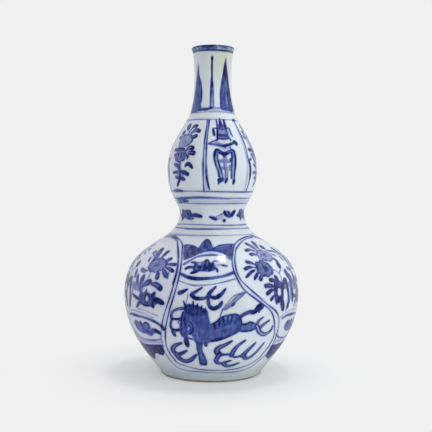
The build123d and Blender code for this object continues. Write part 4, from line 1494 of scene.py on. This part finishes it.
@dataclass(frozen=True)
class OuterGlaze:
    """The painted coat from the foot to the crest of the lip, in bands fine enough to carry the brushwork.

    The thickness and the pitches are in millimetres, and columns are steps round the vase.
    """

    thickness: float = 0.35
    row_pitch: float = 0.5
    back_pitch: float = 4.0
    bulb_columns: int = 960
    upper_columns: int = 520
    neck_columns: int = 300

    def bands(self, wall: Wall) -> list[GlazeBand]:
        """The coat's bands from the foot up."""
        levels = (
            ("foot_glaze", 0.0, 42.0, self.bulb_columns),
            ("belly_glaze", 42.0, 84.0, self.bulb_columns),
            ("shoulder_glaze", 84.0, 126.0, self.bulb_columns),
            ("bracket_glaze", 126.0, 167.5, self.bulb_columns),
            ("waist_glaze", 167.5, 200.0, self.upper_columns),
            ("upper_bulb_glaze", 200.0, 270.0, self.upper_columns),
            ("neck_glaze", 270.0, wall.length, self.neck_columns),
        )
        return [GlazeBand(*level) for level in levels]

    def build(self, wall: Wall, canvas: Canvas) -> None:
        finish = PaintedGlaze().material()
        for band in self.bands(wall):
            mesh = band.mesh(wall, canvas, self.thickness, self.row_pitch, self.back_pitch)
            mesh.materials.append(finish)
            piece = bpy.data.objects.new(band.name, mesh)
            bpy.context.scene.collection.objects.link(piece)
            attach(piece, BODY)
            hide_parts("outer_glaze")
            log.info("%s: %d faces", band.name, len(mesh.polygons))


@dataclass(frozen=True)
class ClayAndLining:
    """The pieces that keep their solids: the thrown sections, the slip seams and the two plain glazes."""

    sections: tuple[str, ...] = (
        "base_bowl", "shoulder_dome", "upper_bulb_lower_half", "upper_bulb_upper_half", "neck",
    )
    seams: tuple[str, ...] = ("belly_slip_seam", "waist_slip_seam", "upper_bulb_slip_seam", "neck_slip_seam")
    clay: BareClay = BareClay("bare_porcelain_foot", clay="A79F92", burnt="86745F")
    slip: BareClay = BareClay("luting_slip", clay="CFC6B8", burnt="B9A996", grit_size=1.6)
    lining: PlainGlaze = PlainGlaze("clear_glaze_lining", ground="D4D8D6", cloud="C3C9C6")
    base: PlainGlaze = PlainGlaze("clear_glaze_base", ground="D6D8D2", cloud="C2C4B8")

    def dress(self, nodes: dict[str, bpy.types.Object]) -> None:
        """Give each solid its finish."""
        clay, slip = self.clay.material(), self.slip.material()
        finishes = dict.fromkeys(self.sections, clay) | dict.fromkeys(self.seams, slip)
        finishes |= {"inner_glaze": self.lining.material(), "base_glaze": self.base.material()}
        for name, finish in finishes.items():
            mesh = nodes[name].data
            mesh.materials.clear()
            mesh.materials.append(finish)
            log.info("%s: %s", name, finish.name)


@dataclass(frozen=True)
class Lamp:
    """A soft box.

    Attributes:
        name: of the lamp.
        place: its middle, metres.
        aim: the point it faces, metres.
        size: width and height, metres.
        power: watts.
        mirrored: whether the glaze shows it as a highlight.
        colour: sRGB hex.
    """

    name: str
    place: tuple[float, float, float]
    aim: tuple[float, float, float]
    size: tuple[float, float]
    power: float
    mirrored: bool = False
    colour: str = "FFFFFF"

    def hang(self) -> None:
        """Put the lamp in the scene."""
        data = bpy.data.lights.new(self.name, "AREA")
        data.shape = "RECTANGLE"
        data.size, data.size_y = self.size
        data.energy = self.power
        data.color = linear(self.colour)[:3]
        lamp = bpy.data.objects.new(self.name, data)
        lamp.visible_glossy = self.mirrored
        towards = Vector(self.aim) - Vector(self.place)
        facing = towards.to_track_quat("-Z", "Y").to_matrix().to_4x4()
        lamp.matrix_world = Matrix.Translation(self.place) @ facing
        bpy.context.scene.collection.objects.link(lamp)


@dataclass(frozen=True)
class Studio:
    """Pale seamless floor, soft light and the camera at the photograph's view.

    Reaches and the eye's place are in metres, angles in degrees and the sensor's width in millimetres.
    """

    paper: str = "F0F0F0"
    floor_colour: str = "F4F4F4"
    floor_roughness: float = 0.9
    floor_reach: float = 6.0
    shadow_reach: float = 0.08
    fade_reach: float = 0.19
    shadow_lift: float = 0.3
    front_reach: float = 0.30
    world_colour: str = "FFFFFF"
    world_light: float = 0.66
    room_light: float = 0.1
    paper_light: float = 0.75
    room_edge: tuple[float, float] = (-0.5, 0.2)
    eye: tuple[float, float, float] = (0.0, -0.770, 0.173)
    pitch: float = 2.09
    sensor_width: float = 36.0
    focal_pixels: float = 830.0
    picture_pixels: float = 432.0
    axis_offset_pixels: float = 3.9
    roll: float = -0.4
    lamps: tuple[Lamp, ...] = (
        Lamp("overhead", (0.0, 0.35, 1.5), (0, 0, 0.1), (1.6, 1.2), 4.5),
        Lamp("right", (1.1, -0.8, 0.55), (0, 0, 0.15), (0.8, 1.0), 5.5),
        Lamp("spark", (0.2, 0.0, 1.5), (0, 0, 0.1), (0.40, 0.16), 2.8, mirrored=True),
    )

    def build(self) -> None:
        """Lay the floor, light it and set up the camera."""
        self._floor()
        self._world()
        for lamp in self.lamps:
            lamp.hang()
        self._camera()

    def _floor(self) -> None:
        """A wide sheet of pale paper that shows shadows near the vase and plain paper further off."""
        bm = bmesh.new()
        bmesh.ops.create_grid(bm, x_segments=1, y_segments=1, size=self.floor_reach)
        mesh = bpy.data.meshes.new("floor")
        bm.to_mesh(mesh)
        bm.free()
        material = bpy.data.materials.new("pale_paper")
        material.use_nodes = True
        tree = material.node_tree
        shader = tree.nodes["Principled BSDF"]
        shader.inputs["Base Color"].default_value = linear(self.floor_colour)
        shader.inputs["Roughness"].default_value = self.floor_roughness
        shader.inputs["Specular IOR Level"].default_value = 0.0
        plain = add_node(tree, "ShaderNodeEmission", {"Color": linear(self.paper), "Strength": 1.0})
        place = add_node(tree, "ShaderNodeTexCoord").outputs["Object"]
        away = add_node(tree, "ShaderNodeVectorMath", {0: place}, operation="LENGTH")
        fade = add_node(tree, "ShaderNodeMapRange", {
            "Value": away.outputs["Value"], "From Min": self.shadow_reach, "From Max": self.fade_reach,
            "To Min": self.shadow_lift}, interpolation_type="SMOOTHSTEP")
        ray = add_node(tree, "ShaderNodeLightPath")
        share = add_node(tree, "ShaderNodeMath", {
            0: fade.outputs["Result"], 1: ray.outputs["Is Camera Ray"]}, operation="MULTIPLY")
        seen = add_node(tree, "ShaderNodeMixShader", {
            0: share.outputs["Value"], 1: shader.outputs["BSDF"], 2: plain.outputs["Emission"]})
        axes = add_node(tree, "ShaderNodeSeparateXYZ", {"Vector": place})
        behind = add_node(tree, "ShaderNodeMapRange", {
            "Value": axes.outputs["Y"], "From Min": -self.front_reach, "From Max": self.front_reach,
            "To Min": self.room_light, "To Max": self.paper_light}, interpolation_type="SMOOTHSTEP")
        mirrored = add_node(tree, "ShaderNodeEmission", {
            "Color": linear(self.paper), "Strength": behind.outputs["Result"]})
        mixed = add_node(tree, "ShaderNodeMixShader", {
            0: ray.outputs["Is Glossy Ray"], 1: seen.outputs["Shader"], 2: mirrored.outputs["Emission"]})
        tree.links.new(mixed.outputs["Shader"], tree.nodes["Material Output"].inputs["Surface"])
        mesh.materials.append(material)
        floor = bpy.data.objects.new("floor", mesh)
        bpy.context.scene.collection.objects.link(floor)

    def _world(self) -> None:
        """Even light from all round. The camera sees pale paper, the glaze the paper and a dim room."""
        world = bpy.data.worlds.new("studio")
        world.use_nodes = True
        tree = world.node_tree
        light = tree.nodes["Background"]
        light.inputs["Color"].default_value = linear(self.world_colour)
        paper = add_node(tree, "ShaderNodeBackground", {"Color": linear(self.paper), "Strength": 1.0})
        ray = add_node(tree, "ShaderNodeLightPath")
        towards = add_node(tree, "ShaderNodeTexCoord").outputs["Generated"]
        axes = add_node(tree, "ShaderNodeSeparateXYZ", {"Vector": towards})
        dim, bright = self.room_edge
        mirrored = add_node(tree, "ShaderNodeMapRange", {
            "Value": axes.outputs["Y"], "From Min": dim, "From Max": bright,
            "To Min": self.room_light, "To Max": self.paper_light}, interpolation_type="SMOOTHSTEP")
        strength = add_node(tree, "ShaderNodeMix", {
            "Factor": ray.outputs["Is Glossy Ray"], "A": self.world_light, "B": mirrored.outputs["Result"]},
            data_type="FLOAT")
        tree.links.new(strength.outputs["Result"], light.inputs["Strength"])
        mixed = add_node(tree, "ShaderNodeMixShader", {
            0: ray.outputs["Is Camera Ray"], 1: light.outputs["Background"], 2: paper.outputs["Background"]})
        tree.links.new(mixed.outputs["Shader"], tree.nodes["World Output"].inputs["Surface"])
        bpy.context.scene.world = world

    def _camera(self) -> None:
        """The camera, a little above the vase's middle and looking slightly down."""
        data = bpy.data.cameras.new("camera")
        data.sensor_width = self.sensor_width
        data.lens = self.sensor_width * self.focal_pixels / self.picture_pixels
        data.shift_x = self.axis_offset_pixels / self.picture_pixels
        camera = bpy.data.objects.new("camera", data)
        camera.location = self.eye
        camera.rotation_euler = (math.radians(90 - self.pitch), math.radians(self.roll), 0)
        bpy.context.scene.collection.objects.link(camera)
        bpy.context.scene.camera = camera


def main() -> None:
    """Paint the vase, dress its pieces and set up the studio."""
    logging.basicConfig(level=logging.INFO)
    bpy.context.scene.view_settings.view_transform = "Standard"
    wall = Wall()
    canvas = Canvas(wall)
    for motif in (NeckLeaves(), UpperBulb(), WaistSprigs(), FlowerPanel(), BeastPanel()):
        motif.paint(canvas)
        log.info("painted %s", type(motif).__name__)
    canvas.bleed()
    OuterGlaze().build(wall, canvas)
    ClayAndLining().dress(frame["nodes"])
    Studio().build()


if __name__ == "__main__":
    main()
